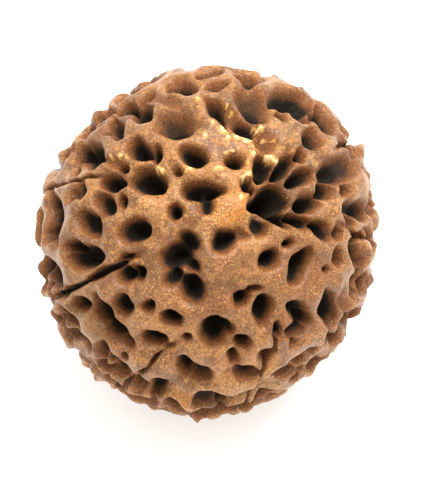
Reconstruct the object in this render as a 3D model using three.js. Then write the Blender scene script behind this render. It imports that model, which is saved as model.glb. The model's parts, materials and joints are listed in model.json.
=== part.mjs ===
// The woody stone of a rudraksha fruit: a round seed, grown in one piece.
// A net of ridges stands between deep pits, narrow clefts run from the stem end over the
// wall to the far end, and a blind hollow sinks into the stem end.
// The surface is one height over each direction from the middle of the seed.
// Units are millimetres, +Z is up, and the seed rests at Z = 0 on a small flat spot.

import * as THREE from 'three';
import { ConvexHull } from 'three/addons/math/ConvexHull.js';

// Driving dimensions, in millimetres
const WAIST_RADIUS = 12.35;      // middle of the seed to its ridge tops, round the waist
const AXIAL_SHARE = 0.94;        // stem end to far end, as a share of the width
const RIDGE_LIFT = 0.25;         // the widest ridges stand this far above the mean ball
const CROWN = 0.42;              // how far a ridge rolls down to a pit's rim
const CROWN_REACH = 0.42;        // how wide that roll is
const LIP_SOFTNESS = 0.08;       // radius of the edge where a wall starts
const BOWL_SHAPE = 2.4;          // 1 is a cone, more is a steeper wall with a rounder floor
const CLEFT_DEPTH = 0.85;
const CLEFT_HALF_WIDTH = 0.34;
const TERRACE_DROP = 0.75;       // the lower tier under the overhanging lip
const TERRACE_REACH = 2.6;
const SWELL_HEIGHT = 0.12;       // the ridge tops rise and sink this much
const SWELL_LENGTH = 3.4;        // from one crest to the next
const SWELL_COUNT = 9;
const REST_SPOT_RADIUS = 1.3;
const FEET = [20, 140, 260];     // it stands on three ridge knobs, at these turns about +Z
const FEET_RING = 4.0;           // how far they are from the vertical through the middle
const FOOT_REACH = 0.7;
const FOOT_WEAR = 0.04;          // so much of each is worn off
const WORN_RECESS = 0.3;         // the ground between the feet lies this much deeper
const RIM_REACH = 1.6;           // a pit shapes the surface this far outside its rim
const STEM_HOLLOW_DEPTH = 4.2;
const FAR_HOLLOW_DEPTH = 2.2;

// How deep a pit is, as a share of its half-width
const HOLE = 2.4;
const CUP = 1.7;
const DISH = 1.0;

// The seed's best side was read by eye from in front and above, in a plane through its
// middle: x to the right and y up, in millimetres.
const SIGHT_SLOPE = THREE.MathUtils.degToRad(55);
const SIGHT_DISTANCE = 160;
const SIGHT_RIGHT = new THREE.Vector3(1, 0, 0);
const SIGHT_UP = new THREE.Vector3(0, Math.sin(SIGHT_SLOPE), Math.cos(SIGHT_SLOPE));
const SIGHT_NEAR = new THREE.Vector3(0, -Math.cos(SIGHT_SLOPE), Math.sin(SIGHT_SLOPE));
const LIMB_SHARE = 0.985;        // nothing is read closer to the outline than this
const RIM_GROWTH = 1.16;         // from a pit's dark inside, as read, to its rim
const STEM_HOLLOW = [4.5, 2.8];

// Ridge tops on the outline, from +x turning towards +y, one every 30 degrees
const OUTLINE_RADII = [12.3, 12.9, 12.9, 12.6, 12.2, 12.1, 12.3, 12.4, 12.6, 12.7, 12.0, 11.8];

// Pits on the side that was read: x, y, half-length, half-width, turn in degrees, depth
const PITS = [
    // upper left
    [-4.6, 9.35, 0.78, 0.68, 80, HOLE],
    [-6.5, 8.15, 0.8, 0.45, 100, CUP],
    [-8.15, 6.4, 1.12, 0.78, 80, HOLE],
    [-7.75, 8.8, 0.5, 0.25, 25, CUP],
    [-10.2, 5.6, 0.33, 0.2, 60, DISH],
    [-6.2, 5.35, 0.85, 0.42, -20, CUP],
    [-4.75, 6.6, 1.05, 0.75, -35, CUP],
    [-3.4, 6.15, 0.5, 0.3, 90, CUP],
    [-4.0, 4.15, 1.1, 0.82, -5, HOLE],
    [-6.65, 4.3, 0.85, 0.55, 0, CUP],
    [-7.05, 2.7, 0.85, 0.6, -50, CUP],
    [-5.8, 2.8, 0.42, 0.26, 100, CUP],
    // top
    [-2.33, 11.13, 0.62, 0.48, 0, HOLE],
    [-1.15, 11.04, 0.58, 0.55, 0, HOLE],
    [-3.1, 10.2, 1.3, 0.3, -18, DISH],
    [0.2, 12.1, 1.0, 0.45, 10, CUP],
    [0.6, 11.2, 0.75, 0.26, 13, CUP],
    [3.2, 11.8, 0.8, 0.35, -33, CUP],
    [2.95, 9.6, 1.4, 0.95, -45, HOLE],
    [0.7, 9.2, 0.95, 0.52, -50, HOLE],
    [2.4, 7.95, 0.9, 0.48, -30, HOLE],
    [4.1, 6.9, 0.6, 0.42, -45, CUP],
    [-2.2, 8.15, 1.45, 0.95, 5, HOLE],
    [-0.95, 6.05, 0.95, 0.62, -20, HOLE],
    [1.95, 5.6, 0.62, 0.45, -10, HOLE],
    [3.95, 5.2, 0.85, 0.5, -60, HOLE],
    [-1.98, 4.85, 0.3, 0.22, -10, CUP],
    // upper right
    [6.2, 10.35, 1.7, 0.85, -20, HOLE],
    [8.57, 8.95, 1.15, 0.45, -60, HOLE],
    [7.55, 7.4, 0.85, 0.58, -35, CUP],
    [6.6, 6.1, 0.45, 0.3, -50, HOLE],
    [9.6, 5.4, 1.3, 0.95, -20, CUP],
    [5.1, 5.0, 0.7, 0.38, 50, HOLE],
    [6.5, 4.4, 0.8, 0.5, 25, HOLE],
    // left
    [-10.85, 1.55, 1.9, 0.66, 92, CUP],
    [-9.05, 3.6, 0.5, 0.36, 90, HOLE],
    [-8.3, 1.3, 1.05, 0.7, -50, CUP],
    [-8.6, -1.15, 1.25, 0.72, 10, HOLE],
    [-9.5, -0.4, 0.45, 0.4, 0, HOLE],
    [-11.15, -2.15, 1.3, 0.6, -60, HOLE],
    [-7.2, -2.15, 1.3, 0.28, 29, HOLE],
    [-10.05, -3.5, 1.05, 0.22, 22, HOLE],
    [-5.0, 0.8, 1.15, 0.76, 15, HOLE],
    [-5.65, -2.3, 0.48, 0.48, 0, HOLE],
    [-4.7, -2.2, 0.42, 0.5, 0, HOLE],
    [-8.83, -4.4, 0.6, 0.5, -25, CUP],
    [-5.93, -4.4, 0.85, 0.66, -70, HOLE],
    [-4.15, -4.45, 0.45, 0.42, 0, CUP],
    // middle
    [-0.4, 3.6, 1.4, 0.58, 0, CUP],
    [-0.1, 2.45, 0.48, 0.36, 90, HOLE],
    [-2.2, 2.07, 0.46, 0.36, 90, HOLE],
    [1.2, 0.0, 0.85, 0.43, 45, HOLE],
    [2.25, 0.5, 0.7, 0.35, -10, DISH],
    [2.93, 3.86, 0.58, 0.4, -10, HOLE],
    [3.67, 1.08, 0.68, 0.48, 110, CUP],
    [-2.2, -0.95, 1.05, 0.85, 30, HOLE],
    [-1.0, -0.05, 0.6, 0.42, -50, HOLE],
    [-1.25, -1.6, 0.6, 0.36, -30, HOLE],
    [-2.4, -2.55, 0.6, 0.42, 15, HOLE],
    [-1.05, -3.3, 0.85, 0.62, -60, HOLE],
    [2.3, -3.93, 0.55, 0.46, 20, HOLE],
    [4.22, -1.17, 0.75, 0.5, 45, HOLE],
    [3.87, -4.7, 1.05, 0.58, 77, HOLE],
    // right
    [6.95, 2.62, 0.85, 0.52, 5, HOLE],
    [6.4, 1.3, 0.78, 0.42, -25, HOLE],
    [8.36, 3.76, 0.7, 0.48, -65, HOLE],
    [8.2, 0.85, 0.85, 0.48, -65, HOLE],
    [9.3, 0.65, 0.5, 0.3, 75, CUP],
    [9.12, -1.03, 0.58, 0.32, 95, CUP],
    [5.56, -0.08, 0.33, 0.24, 20, HOLE],
    [6.35, -1.6, 1.4, 0.5, 62, HOLE],
    [11.1, 2.33, 0.95, 0.65, -40, CUP],
    [10.0, 2.6, 0.55, 0.22, 80, DISH],
    [11.45, 0.65, 0.45, 0.2, -55, HOLE],
    [10.72, -0.9, 0.95, 0.44, 95, CUP],
    [10.4, -2.75, 0.6, 0.35, 75, CUP],
    [8.43, -4.7, 1.15, 0.55, 88, HOLE],
    [9.65, -4.3, 0.8, 0.2, 95, DISH],
    // lower left
    [-7.4, -4.75, 1.15, 0.52, -70, HOLE],
    [-6.7, -6.25, 1.1, 0.5, -40, HOLE],
    [-5.7, -7.15, 0.5, 0.36, -30, CUP],
    [-9.8, -5.4, 1.05, 0.35, -50, HOLE],
    [-9.4, -6.6, 0.9, 0.28, -25, CUP],
    [-7.5, -7.7, 0.72, 0.38, -75, CUP],
    [-8.0, -9.0, 0.65, 0.32, -50, DISH],
    [-6.0, -8.95, 0.72, 0.5, -15, CUP],
    [-6.6, -8.3, 0.3, 0.22, -40, HOLE],
    // bottom
    [-2.45, -5.3, 0.75, 0.5, -15, HOLE],
    [-3.83, -6.7, 0.85, 0.5, -15, HOLE],
    [0.25, -6.2, 1.1, 0.62, 82, HOLE],
    [1.2, -5.75, 0.75, 0.4, -25, HOLE],
    [2.5, -6.93, 0.56, 0.34, -10, HOLE],
    [1.83, -7.95, 0.5, 0.36, 90, CUP],
    [4.17, -7.9, 0.45, 0.36, 30, CUP],
    [2.85, -9.36, 0.95, 0.4, -8, CUP],
    [-1.55, -8.7, 0.7, 0.48, -35, HOLE],
    [-0.35, -9.4, 0.8, 0.38, -15, CUP],
    [-3.5, -10.3, 0.74, 0.42, 90, HOLE],
    [-2.2, -10.5, 0.6, 0.34, -30, HOLE],
    [1.8, -10.95, 1.2, 0.28, 0, HOLE],
    [-0.3, -11.73, 0.85, 0.3, 8, CUP],
    [0.98, -11.67, 0.42, 0.32, 0, HOLE],
    // lower right
    [6.35, -4.7, 0.7, 0.42, -15, HOLE],
    [6.9, -5.5, 0.48, 0.4, 0, HOLE],
    [6.25, -6.3, 0.65, 0.4, 25, HOLE],
    [8.7, -6.6, 0.55, 0.25, 60, DISH],
    [10.3, -5.0, 0.5, 0.22, 50, DISH],
    [7.5, -7.65, 0.6, 0.24, 25, CUP],
    [6.45, -8.3, 0.6, 0.24, 20, CUP],
    [7.4, -8.75, 0.7, 0.25, 28, CUP],
    [5.5, -9.35, 0.85, 0.28, 15, CUP],
    [4.8, -10.6, 0.4, 0.22, 30, DISH],
];

// Lobes of the stem hollow: x, y, half-length, half-width, turn
const STEM_LOBES = [
    [4.5, 2.8, 1.1, 0.9, 90],
    [3.4, 2.55, 0.6, 0.34, 20],
    [5.0, 1.65, 0.65, 0.4, -35],
];

// Clefts between the cells, as far as they were read, from the stem end outwards
const CLEFTS = [
    [[-2.4, 5.0], [-4.6, 5.3], [-6.4, 5.05], [-9.0, 4.75], [-11.0, 4.2]],
    [[-4.8, -0.7], [-6.0, -1.5], [-7.2, -2.15], [-8.6, -2.8], [-10.0, -3.5], [-11.1, -4.2]],
    [[-1.5, -6.7], [-2.1, -7.4], [-3.0, -7.8], [-3.7, -8.4], [-4.5, -9.1], [-5.8, -10.2]],
    [[5.1, -5.7], [5.05, -7.2], [5.0, -8.3], [4.4, -9.0], [3.9, -9.8]],
    [[9.8, 1.5], [10.8, 0.8], [11.65, 0.3]],
    [[4.4, 6.0], [3.3, 7.4], [1.6, 8.6], [0.1, 10.0]],
    [[8.9, 6.5], [9.6, 7.0], [10.3, 7.2]],
];
const CLEFT_SPACING = 0.7;
const CLEFT_END = 3.0;           // the clefts stop this far from the middle of the far end
const CLEFT_STEP = 2.2;
const CLEFT_WANDER = 0.5;        // how far a cleft strays from a straight run

// Edge of the overhanging lip low on the near side; the tier below it lies outwards
const TERRACE = [
    [-3.5, -9.5], [-2.4, -9.9], [-1.2, -10.65], [0.3, -10.5], [1.7, -10.65], [3.3, -10.5],
    [4.0, -9.7],
];

// The outline is rough: ridge junctions stand out from it and pits bite into it. Both are
// read as angles round the outline, from +x turning towards +y.
// Knobs: angle, height, reach
const KNOBS = [
    [5.5, 0.25, 0.7], [31, 0.25, 0.8], [40, 0.45, 0.6], [50, 0.3, 0.9], [82, 0.3, 0.9],
    [118, 0.3, 1.1], [131, 0.25, 0.6], [150, 0.25, 0.6], [158, 0.25, 0.7], [170, 0.45, 0.8],
    [193, 0.3, 0.9], [210, 0.25, 0.9], [227, 0.4, 0.9], [232, 0.35, 0.6], [247, 0.3, 1.0],
    [266, 0.35, 1.1], [284, 0.15, 0.8], [308.5, 0.3, 0.6], [337, 0.15, 0.8],
];
// Notches: angle, half-width, depth
const NOTCHES = [
    [1.5, 0.3, 0.6], [35, 0.35, 0.75], [71, 0.35, 0.55], [95, 0.7, 0.7], [127.5, 0.45, 0.75],
    [144, 0.35, 0.5], [153, 0.25, 0.3], [184, 0.6, 0.35], [201, 0.35, 0.65], [221, 0.6, 0.55],
    [234.5, 0.3, 0.8], [277, 0.6, 0.45], [302, 0.6, 0.4], [321, 0.7, 0.5], [352, 0.7, 0.25],
];
const NOTCH_LENGTH = 1.9;        // half of it, over the outline to the far side
const OUTLINE_ANGLE = THREE.MathUtils.degToRad(86);

// Sunken ground round the stem end: x, y, reach, depth
const BASIN = [5.6, 3.4, 1.9, 0.85];

// Pits where nothing was read: their sizes, how many tries each size gets, and how squarely
// to the line of sight they may still lie (1 is straight at it, 0 is on the outline)
const WILD_SEED = 4171;
const WILD_SIZES = [
    { long: [1.3, 1.75], wide: [0.8, 1.05], tries: 900, edge: 0.15 },
    { long: [0.9, 1.25], wide: [0.55, 0.8], tries: 1500, edge: 0.3 },
    { long: [0.55, 0.8], wide: [0.4, 0.52], tries: 1800, edge: 0.5 },
    { long: [0.3, 0.42], wide: [0.24, 0.3], tries: 700, edge: 0.6 },
];
const WILD_GAP = [0.2, 0.4];     // ridge left between two pits
const WILD_GROWTH = [1.45, 1.3, 1.18, 1.08];  // each then grows by the most that has room
const WILD_HOLES = 0.6;          // share of them that are as deep as a hole
const FOOT_CLEAR = 0.5;          // they keep this far from the feet and the rest spot

// Mesh
const MOST_POINTS = 5850;
const RIM_STEP = 0.7;           // from point to point round a pit's rim
const RIM_CLEAR = 0.07;          // the rim's points stand this far outside the wall
const WALL_SHARE = 0.6;          // the wall's foot, as a share of the way out to the rim
const CLOSEST = 0.2;             // two points are never closer than this
const RIDGE_STEP = 0.5;          // points added on the ridges are this far from the others

const STONE_BROWN = 0x8a5f3c;

const clamp01 = (value) => Math.min(1, Math.max(0, value));

function smoothstep(from, to, value) {
    const share = clamp01((value - from) / (to - from));
    return share * share * (3 - 2 * share);
}

// Park and Miller's generator, so that every run grows the same seed
function makeRandom(seed) {
    let state = seed;
    return () => {
        state = (state * 16807) % 2147483647;
        return state / 2147483647;
    };
}

const random = makeRandom(WILD_SEED);
const randomBetween = ([low, high]) => low + (high - low) * random();

function randomDirection() {
    const height = 2 * random() - 1;
    const turn = 2 * Math.PI * random();
    const ring = Math.sqrt(1 - height * height);
    return new THREE.Vector3(ring * Math.cos(turn), ring * Math.sin(turn), height);
}

// The point of the mean ball that a line of sight through (x, y) meets first
function seenPoint(x, y) {
    const reach = Math.hypot(x, y);
    const inside = Math.min(1, (LIMB_SHARE * WAIST_RADIUS) / Math.max(reach, 1e-6));
    const across = x * inside;
    const up = y * inside;
    const far = SIGHT_DISTANCE * SIGHT_DISTANCE;
    const slant = across * across + up * up + far;
    const root = Math.sqrt(far * far - slant * (far - WAIST_RADIUS * WAIST_RADIUS));
    const share = (far - root) / slant;
    return new THREE.Vector3()
        .addScaledVector(SIGHT_RIGHT, across * share)
        .addScaledVector(SIGHT_UP, up * share)
        .addScaledVector(SIGHT_NEAR, SIGHT_DISTANCE * (1 - share));
}

// The way along the wall from one direction to another
const wallDistance = (from, to) => WAIST_RADIUS * from.angleTo(to);

function outlineDirection(degrees) {
    const angle = THREE.MathUtils.degToRad(degrees);
    const outwards = Math.sin(OUTLINE_ANGLE);
    return new THREE.Vector3()
        .addScaledVector(SIGHT_RIGHT, outwards * Math.cos(angle))
        .addScaledVector(SIGHT_UP, outwards * Math.sin(angle))
        .addScaledVector(SIGHT_NEAR, Math.cos(OUTLINE_ANGLE));
}

const STEM_AXIS = seenPoint(...STEM_HOLLOW).normalize();
const FAR_AXIS = STEM_AXIS.clone().negate();

// A pit: its middle as a direction, two half-axes on the wall, its depth and half-width
function makePit(middle, longAxis, wideAxis, depth) {
    const alongX = longAxis.clone().projectOnPlane(middle);
    const alongY = wideAxis.clone().projectOnPlane(middle);
    const across = alongX.clone().normalize();
    const upwards = middle.clone().cross(across);
    const wide = Math.min(alongX.length(), Math.abs(alongY.dot(upwards)));
    return {
        middle,
        across,
        upwards,
        long: alongX.length(),
        lean: alongY.dot(across),
        rise: alongY.dot(upwards),
        wide,
        longest: Math.max(alongX.length(), alongY.length()),
        depth,
    };
}

function halfAxis(x, y, length, angle) {
    const dx = length * Math.cos(angle);
    const dy = length * Math.sin(angle);
    const half = seenPoint(x + dx, y + dy).sub(seenPoint(x - dx, y - dy)).multiplyScalar(0.5);
    const longest = 1.6 * length;
    return half.length() > longest ? half.setLength(longest) : half;
}

function pitFromSight([x, y, long, wide, turn], depth) {
    const angle = THREE.MathUtils.degToRad(turn);
    const middle = seenPoint(x, y).normalize();
    const longAxis = halfAxis(x, y, RIM_GROWTH * long, angle);
    const wideAxis = halfAxis(x, y, RIM_GROWTH * wide, angle + Math.PI / 2);
    return makePit(middle, longAxis, wideAxis, depth);
}

// Where a direction lies in a pit: share is 1 on the rim, outside is the way to the rim
function placeInPit(pit, direction) {
    const height = direction.dot(pit.middle);
    const x = (WAIST_RADIUS * direction.dot(pit.across)) / height;
    const y = (WAIST_RADIUS * direction.dot(pit.upwards)) / height;
    const t = y / pit.rise;
    const s = (x - pit.lean * t) / pit.long;
    const share = Math.hypot(s, t);
    const outside = share > 1 ? Math.hypot(x, y) * (1 - 1 / share) : (share - 1) * pit.wide;
    return { share, outside };
}

function pointOfPit(pit, share, angle) {
    const s = share * Math.cos(angle);
    const t = share * Math.sin(angle);
    return pit.middle.clone().multiplyScalar(WAIST_RADIUS)
        .addScaledVector(pit.across, s * pit.long + t * pit.lean)
        .addScaledVector(pit.upwards, t * pit.rise)
        .normalize();
}

function nearPits(pits, direction) {
    return pits.filter((pit) => {
        const reach = (pit.longest + RIM_REACH) / WAIST_RADIUS;
        return direction.dot(pit.middle) > Math.cos(reach);
    });
}

// Half the width of a pit on the way to another direction
function spanTowards(pit, direction) {
    const { share } = placeInPit(pit, direction);
    return wallDistance(direction, pit.middle) / Math.max(share, 1e-6);
}

function grooveDirections(line) {
    return line.map(([x, y]) => seenPoint(x, y).normalize());
}

// A cleft goes on from where it was last seen, wandering a little, towards the far end
function finishCleft(line) {
    const path = grooveDirections(line);
    const start = path[path.length - 1];
    const turn = start.angleTo(FAR_AXIS);
    const stop = turn - CLEFT_END / WAIST_RADIUS;
    const pivot = start.clone().cross(FAR_AXIS).normalize();
    const steps = Math.round((stop * WAIST_RADIUS) / CLEFT_STEP);
    for (let step = 1; step <= steps; step += 1) {
        const stray = (CLEFT_WANDER / WAIST_RADIUS) * (2 * random() - 1);
        const point = start.clone().applyAxisAngle(pivot, (stop * step) / steps);
        path.push(point.addScaledVector(pivot, stray).normalize());
    }
    return path;
}

// How far a direction is from a path, on which side of it, and how far along, from 0 to 1
function besidePath(path, direction) {
    let nearest = Infinity;
    let side = 0;
    let progress = 0;
    for (let index = 0; index + 1 < path.length; index += 1) {
        const run = path[index + 1].clone().sub(path[index]);
        const offset = direction.clone().sub(path[index]);
        const along = clamp01(offset.dot(run) / run.lengthSq());
        const gap = offset.addScaledVector(run, -along);
        const distance = WAIST_RADIUS * gap.length();
        if (distance < nearest) {
            nearest = distance;
            side = Math.sign(run.cross(gap).dot(direction));
            progress = (index + along) / (path.length - 1);
        }
    }
    return { distance: nearest, side, progress };
}

function hasRoom(pit, gap, pits, clefts) {
    const clearOf = (other) => {
        const away = wallDistance(pit.middle, other.middle);
        if (away > pit.longest + other.longest + gap) {
            return true;
        }
        return away > spanTowards(other, pit.middle) + spanTowards(pit, other.middle) + gap;
    };
    const clearOfCleft = (path) => besidePath(path, pit.middle).distance > pit.wide + 0.15;
    const clearOfWorn = (spot) => wallDistance(pit.middle, spot) > pit.longest + FOOT_CLEAR;
    const worn = [...feet.map((foot) => foot.direction), restSpot.clone().normalize()];
    return worn.every(clearOfWorn) && clefts.every(clearOfCleft) && pits.every(clearOf);
}

function wildPit(size) {
    const middle = randomDirection();
    const long = randomBetween(size.long);
    const wide = randomBetween(size.wide);
    const turn = Math.PI * random();
    const depth = wide * (random() < WILD_HOLES ? HOLE : CUP);
    const across = new THREE.Vector3().crossVectors(middle, STEM_AXIS).normalize();
    const longAxis = across.applyAxisAngle(middle, turn).multiplyScalar(long);
    const wideAxis = longAxis.clone().applyAxisAngle(middle, Math.PI / 2).setLength(wide);
    return makePit(middle, longAxis, wideAxis, depth);
}

function enlarge(pit, factor) {
    return {
        ...pit,
        long: pit.long * factor,
        lean: pit.lean * factor,
        rise: pit.rise * factor,
        wide: pit.wide * factor,
        longest: pit.longest * factor,
        depth: pit.depth * Math.sqrt(factor),
    };
}

// Pits of the side that was not read, each kept clear of those before it
function growWildPits(pits, clefts) {
    const firstWild = pits.length;
    for (const size of WILD_SIZES) {
        for (let attempt = 0; attempt < size.tries; attempt += 1) {
            const pit = wildPit(size);
            const gap = randomBetween(WILD_GAP);
            const hidden = pit.middle.dot(SIGHT_NEAR) < size.edge;
            if (hidden && hasRoom(pit, gap, pits, clefts)) {
                pits.push(pit);
            }
        }
    }
    for (let index = firstWild; index < pits.length; index += 1) {
        const others = pits.filter((pit, place) => place !== index);
        const bigger = WILD_GROWTH.map((factor) => enlarge(pits[index], factor));
        const best = bigger.find((pit) => hasRoom(pit, WILD_GAP[0], others, clefts));
        pits[index] = best ?? pits[index];
    }
}

function notchPit([degrees, wide, depth]) {
    const middle = outlineDirection(degrees);
    const over = SIGHT_NEAR.clone().projectOnPlane(middle).setLength(NOTCH_LENGTH);
    const across = middle.clone().cross(over).setLength(wide);
    return makePit(middle, over, across, depth);
}

function farHollow() {
    const side = new THREE.Vector3().crossVectors(FAR_AXIS, SIGHT_UP).normalize();
    const other = FAR_AXIS.clone().cross(side);
    return makePit(FAR_AXIS, side.setLength(1.2), other.setLength(1.0), FAR_HOLLOW_DEPTH);
}

// Slow swells of the ridge tops, as waves that run through the ball in all directions
function makeSwells() {
    return Array.from({ length: SWELL_COUNT }, () => ({
        heading: randomDirection().multiplyScalar((2 * Math.PI * WAIST_RADIUS) / SWELL_LENGTH),
        phase: 2 * Math.PI * random(),
    }));
}

function swell(direction) {
    const wave = ({ heading, phase }) => Math.sin(heading.dot(direction) + phase);
    const sum = swells.reduce((total, each) => total + wave(each), 0);
    return (SWELL_HEIGHT * sum) / Math.sqrt(SWELL_COUNT / 2);
}

// A round bump with soft skirts
function mound(direction, middle, reach, height) {
    return height * Math.exp(-((wallDistance(direction, middle) / reach) ** 2));
}

// 0 underneath, where the ridge tops are worn, and 1 away from there
function unworn(direction) {
    const away = wallDistance(direction, new THREE.Vector3(0, 0, -1));
    return smoothstep(FEET_RING + 0.4, FEET_RING + 2, away);
}

function wornGround(direction) {
    const away = wallDistance(direction, restSpot.clone().normalize());
    return -WORN_RECESS * smoothstep(REST_SPOT_RADIUS, 2 * REST_SPOT_RADIUS, away);
}

// A ridge knob that is just tall enough to be worn flat at the height of the rest spot
function makeFoot(degrees) {
    const angle = THREE.MathUtils.degToRad(degrees);
    const depth = Math.sqrt(WAIST_RADIUS ** 2 - FEET_RING ** 2);
    const direction = new THREE.Vector3(Math.cos(angle), Math.sin(angle), 0);
    direction.multiplyScalar(FEET_RING).setZ(-depth).normalize();
    const ground = ovalTop(direction) + wornGround(direction);
    return { direction, height: restSpot.z / direction.z - ground + FOOT_WEAR };
}

// A slightly squat ball whose waist follows the outline that was read
function ovalTop(direction) {
    const along = direction.dot(STEM_AXIS);
    const squat = (along * along) / (AXIAL_SHARE * AXIAL_SHARE);
    const ball = WAIST_RADIUS / Math.sqrt(1 - along * along + squat);
    const x = direction.dot(SIGHT_RIGHT);
    const y = direction.dot(SIGHT_UP);
    const turn = (Math.atan2(y, x) / (2 * Math.PI) + 1) % 1;
    const place = turn * OUTLINE_RADII.length;
    const from = Math.floor(place) % OUTLINE_RADII.length;
    const to = (from + 1) % OUTLINE_RADII.length;
    const blend = smoothstep(0, 1, place - Math.floor(place));
    const waist = OUTLINE_RADII[from] * (1 - blend) + OUTLINE_RADII[to] * blend;
    const oval = ball + (waist - ball) * smoothstep(0.6, 0.97, Math.hypot(x, y));
    const knob = ([degrees, height, reach]) => mound(
        direction,
        outlineDirection(degrees),
        reach,
        height,
    );
    const raised = KNOBS.reduce((total, row) => total + knob(row), oval);
    const [basinX, basinY, reach, depth] = BASIN;
    return raised - mound(direction, seenPoint(basinX, basinY).normalize(), reach, depth);
}

function ridgeTop(direction) {
    const stand = (foot) => mound(direction, foot.direction, FOOT_REACH, foot.height);
    return feet.reduce((total, foot) => total + stand(foot), ovalTop(direction));
}

function terraceDrop(direction) {
    const { distance, side, progress } = besidePath(terrace, direction);
    if (side > 0) {
        return 0;
    }
    const ends = smoothstep(0, 0.25, progress) * smoothstep(0, 0.25, 1 - progress);
    const fade = 1 - smoothstep(0.45 * TERRACE_REACH, TERRACE_REACH, distance);
    return TERRACE_DROP * smoothstep(0, 0.35, distance) * fade * ends;
}

function bowl(pit, outside) {
    const inward = LIP_SOFTNESS * Math.log(1 + Math.exp(-outside / LIP_SOFTNESS));
    const share = clamp01(inward / (0.92 * pit.wide));
    return pit.depth * (1 - (1 - share) ** BOWL_SHAPE);
}

function surfaceRadius(direction) {
    let roll = 0;
    let sunk = 0;
    for (const pit of nearPits(pits, direction)) {
        const { outside } = placeInPit(pit, direction);
        const share = Math.min(1, pit.wide / 0.35);
        roll += share * Math.exp(-Math.max(0, outside) / CROWN_REACH);
        sunk = Math.max(sunk, bowl(pit, outside));
    }
    for (const path of clefts) {
        const { distance } = besidePath(path, direction);
        roll += 1.2 * Math.exp(-distance / CROWN_REACH);
        sunk = Math.max(sunk, CLEFT_DEPTH * clamp01(1 - distance / CLEFT_HALF_WIDTH));
    }
    const rolled = (CROWN * roll) / (1 + 0.35 * Math.max(0, roll - 1));
    const fresh = unworn(direction);
    const grown = fresh * (RIDGE_LIFT + swell(direction) - rolled);
    const relief = grown + (1 - fresh) * wornGround(direction);
    return ridgeTop(direction) + relief - sunk - terraceDrop(direction);
}

// Middle of the rest spot: the lowest point of the squat ball, worn flat to the spot's radius
function findRestSpot() {
    const slope = -STEM_AXIS.z;
    const pole = STEM_AXIS.clone().multiplyScalar(slope);
    const waist = new THREE.Vector3(0, 0, -1).sub(pole);
    const lowest = waist.addScaledVector(pole, AXIAL_SHARE * AXIAL_SHARE);
    lowest.multiplyScalar(WAIST_RADIUS / Math.sqrt(-lowest.z));
    lowest.z += (REST_SPOT_RADIUS * REST_SPOT_RADIUS) / (2 * WAIST_RADIUS);
    return lowest;
}

function surfacePoint(direction) {
    const point = direction.clone().multiplyScalar(surfaceRadius(direction));
    if (point.z < restSpot.z) {
        point.multiplyScalar(restSpot.z / point.z);
    }
    return point;
}

// Points of the mesh, as directions; a new one is kept clear of those already there
function makeSieve() {
    const kept = [];
    const cells = new Map();
    const size = 0.05;
    const cellOf = (value) => Math.floor(value / size);
    const near = (direction) => {
        const found = [];
        const [x, y, z] = direction.toArray().map(cellOf);
        for (let i = x - 1; i <= x + 1; i += 1) {
            for (let j = y - 1; j <= y + 1; j += 1) {
                for (let k = z - 1; k <= z + 1; k += 1) {
                    found.push(...(cells.get(`${i},${j},${k}`) ?? []));
                }
            }
        }
        return found;
    };
    const add = (direction, clearance) => {
        const limit = clearance / WAIST_RADIUS;
        if (near(direction).some((other) => other.distanceTo(direction) < limit)) {
            return false;
        }
        const key = direction.toArray().map(cellOf).join(',');
        cells.set(key, [...(cells.get(key) ?? []), direction]);
        kept.push(direction);
        return true;
    };
    return { kept, add };
}

const insideOtherPit = (own, direction, limit) => nearPits(pits, direction)
    .some((pit) => pit !== own && placeInPit(pit, direction).share < limit);

function addPitPoints(sieve) {
    const rims = [];
    const walls = [];
    const floors = [];
    for (const pit of pits) {
        const girth = 2 * Math.PI * Math.sqrt((pit.long ** 2 + pit.rise ** 2) / 2);
        const count = Math.max(6, Math.min(13, Math.round(girth / RIM_STEP)));
        const twist = 2 * Math.PI * random();
        for (let index = 0; index < count; index += 1) {
            const angle = twist + (2 * Math.PI * index) / count;
            rims.push([pit, pointOfPit(pit, 1 + RIM_CLEAR / pit.wide, angle)]);
        }
        const inner = pit.wide < 0.3 ? 0 : Math.max(5, Math.round(count * 0.65));
        for (let index = 0; index < inner; index += 1) {
            const angle = twist + (2 * Math.PI * (index + 0.5)) / inner;
            walls.push([pit, pointOfPit(pit, WALL_SHARE, angle)]);
        }
        floors.push([pit, pit.middle]);
    }
    for (const [pit, direction] of rims) {
        if (!insideOtherPit(pit, direction, 0.97)) {
            sieve.add(direction, CLOSEST);
        }
    }
    for (const [pit, direction] of [...floors, ...walls]) {
        if (!insideOtherPit(pit, direction, WALL_SHARE)) {
            sieve.add(direction, 1.3 * CLOSEST);
        }
    }
}

function addPathPoints(sieve, path, offsets, spacing) {
    for (let index = 0; index + 1 < path.length; index += 1) {
        const run = path[index + 1].clone().sub(path[index]);
        const side = path[index].clone().cross(run).normalize();
        const count = Math.max(1, Math.round((run.length() * WAIST_RADIUS) / spacing));
        for (let step = 0; step < count; step += 1) {
            const middle = path[index].clone().addScaledVector(run, step / count);
            for (const offset of offsets) {
                const point = middle.clone().addScaledVector(side, offset / WAIST_RADIUS);
                point.normalize();
                if (!insideOtherPit(null, point, 1)) {
                    sieve.add(point, CLOSEST);
                }
            }
        }
    }
}

function addRestSpotPoints(sieve) {
    for (const { direction } of feet) {
        sieve.add(direction, CLOSEST);
    }
    for (const [ring, count] of [[0, 1], [0.9, 6]]) {
        for (let index = 0; index < count; index += 1) {
            const turn = (2 * Math.PI * index) / count;
            const reach = ring * REST_SPOT_RADIUS;
            const step = new THREE.Vector3(reach * Math.cos(turn), reach * Math.sin(turn), 0);
            sieve.add(step.add(restSpot).normalize(), CLOSEST);
        }
    }
}

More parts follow.
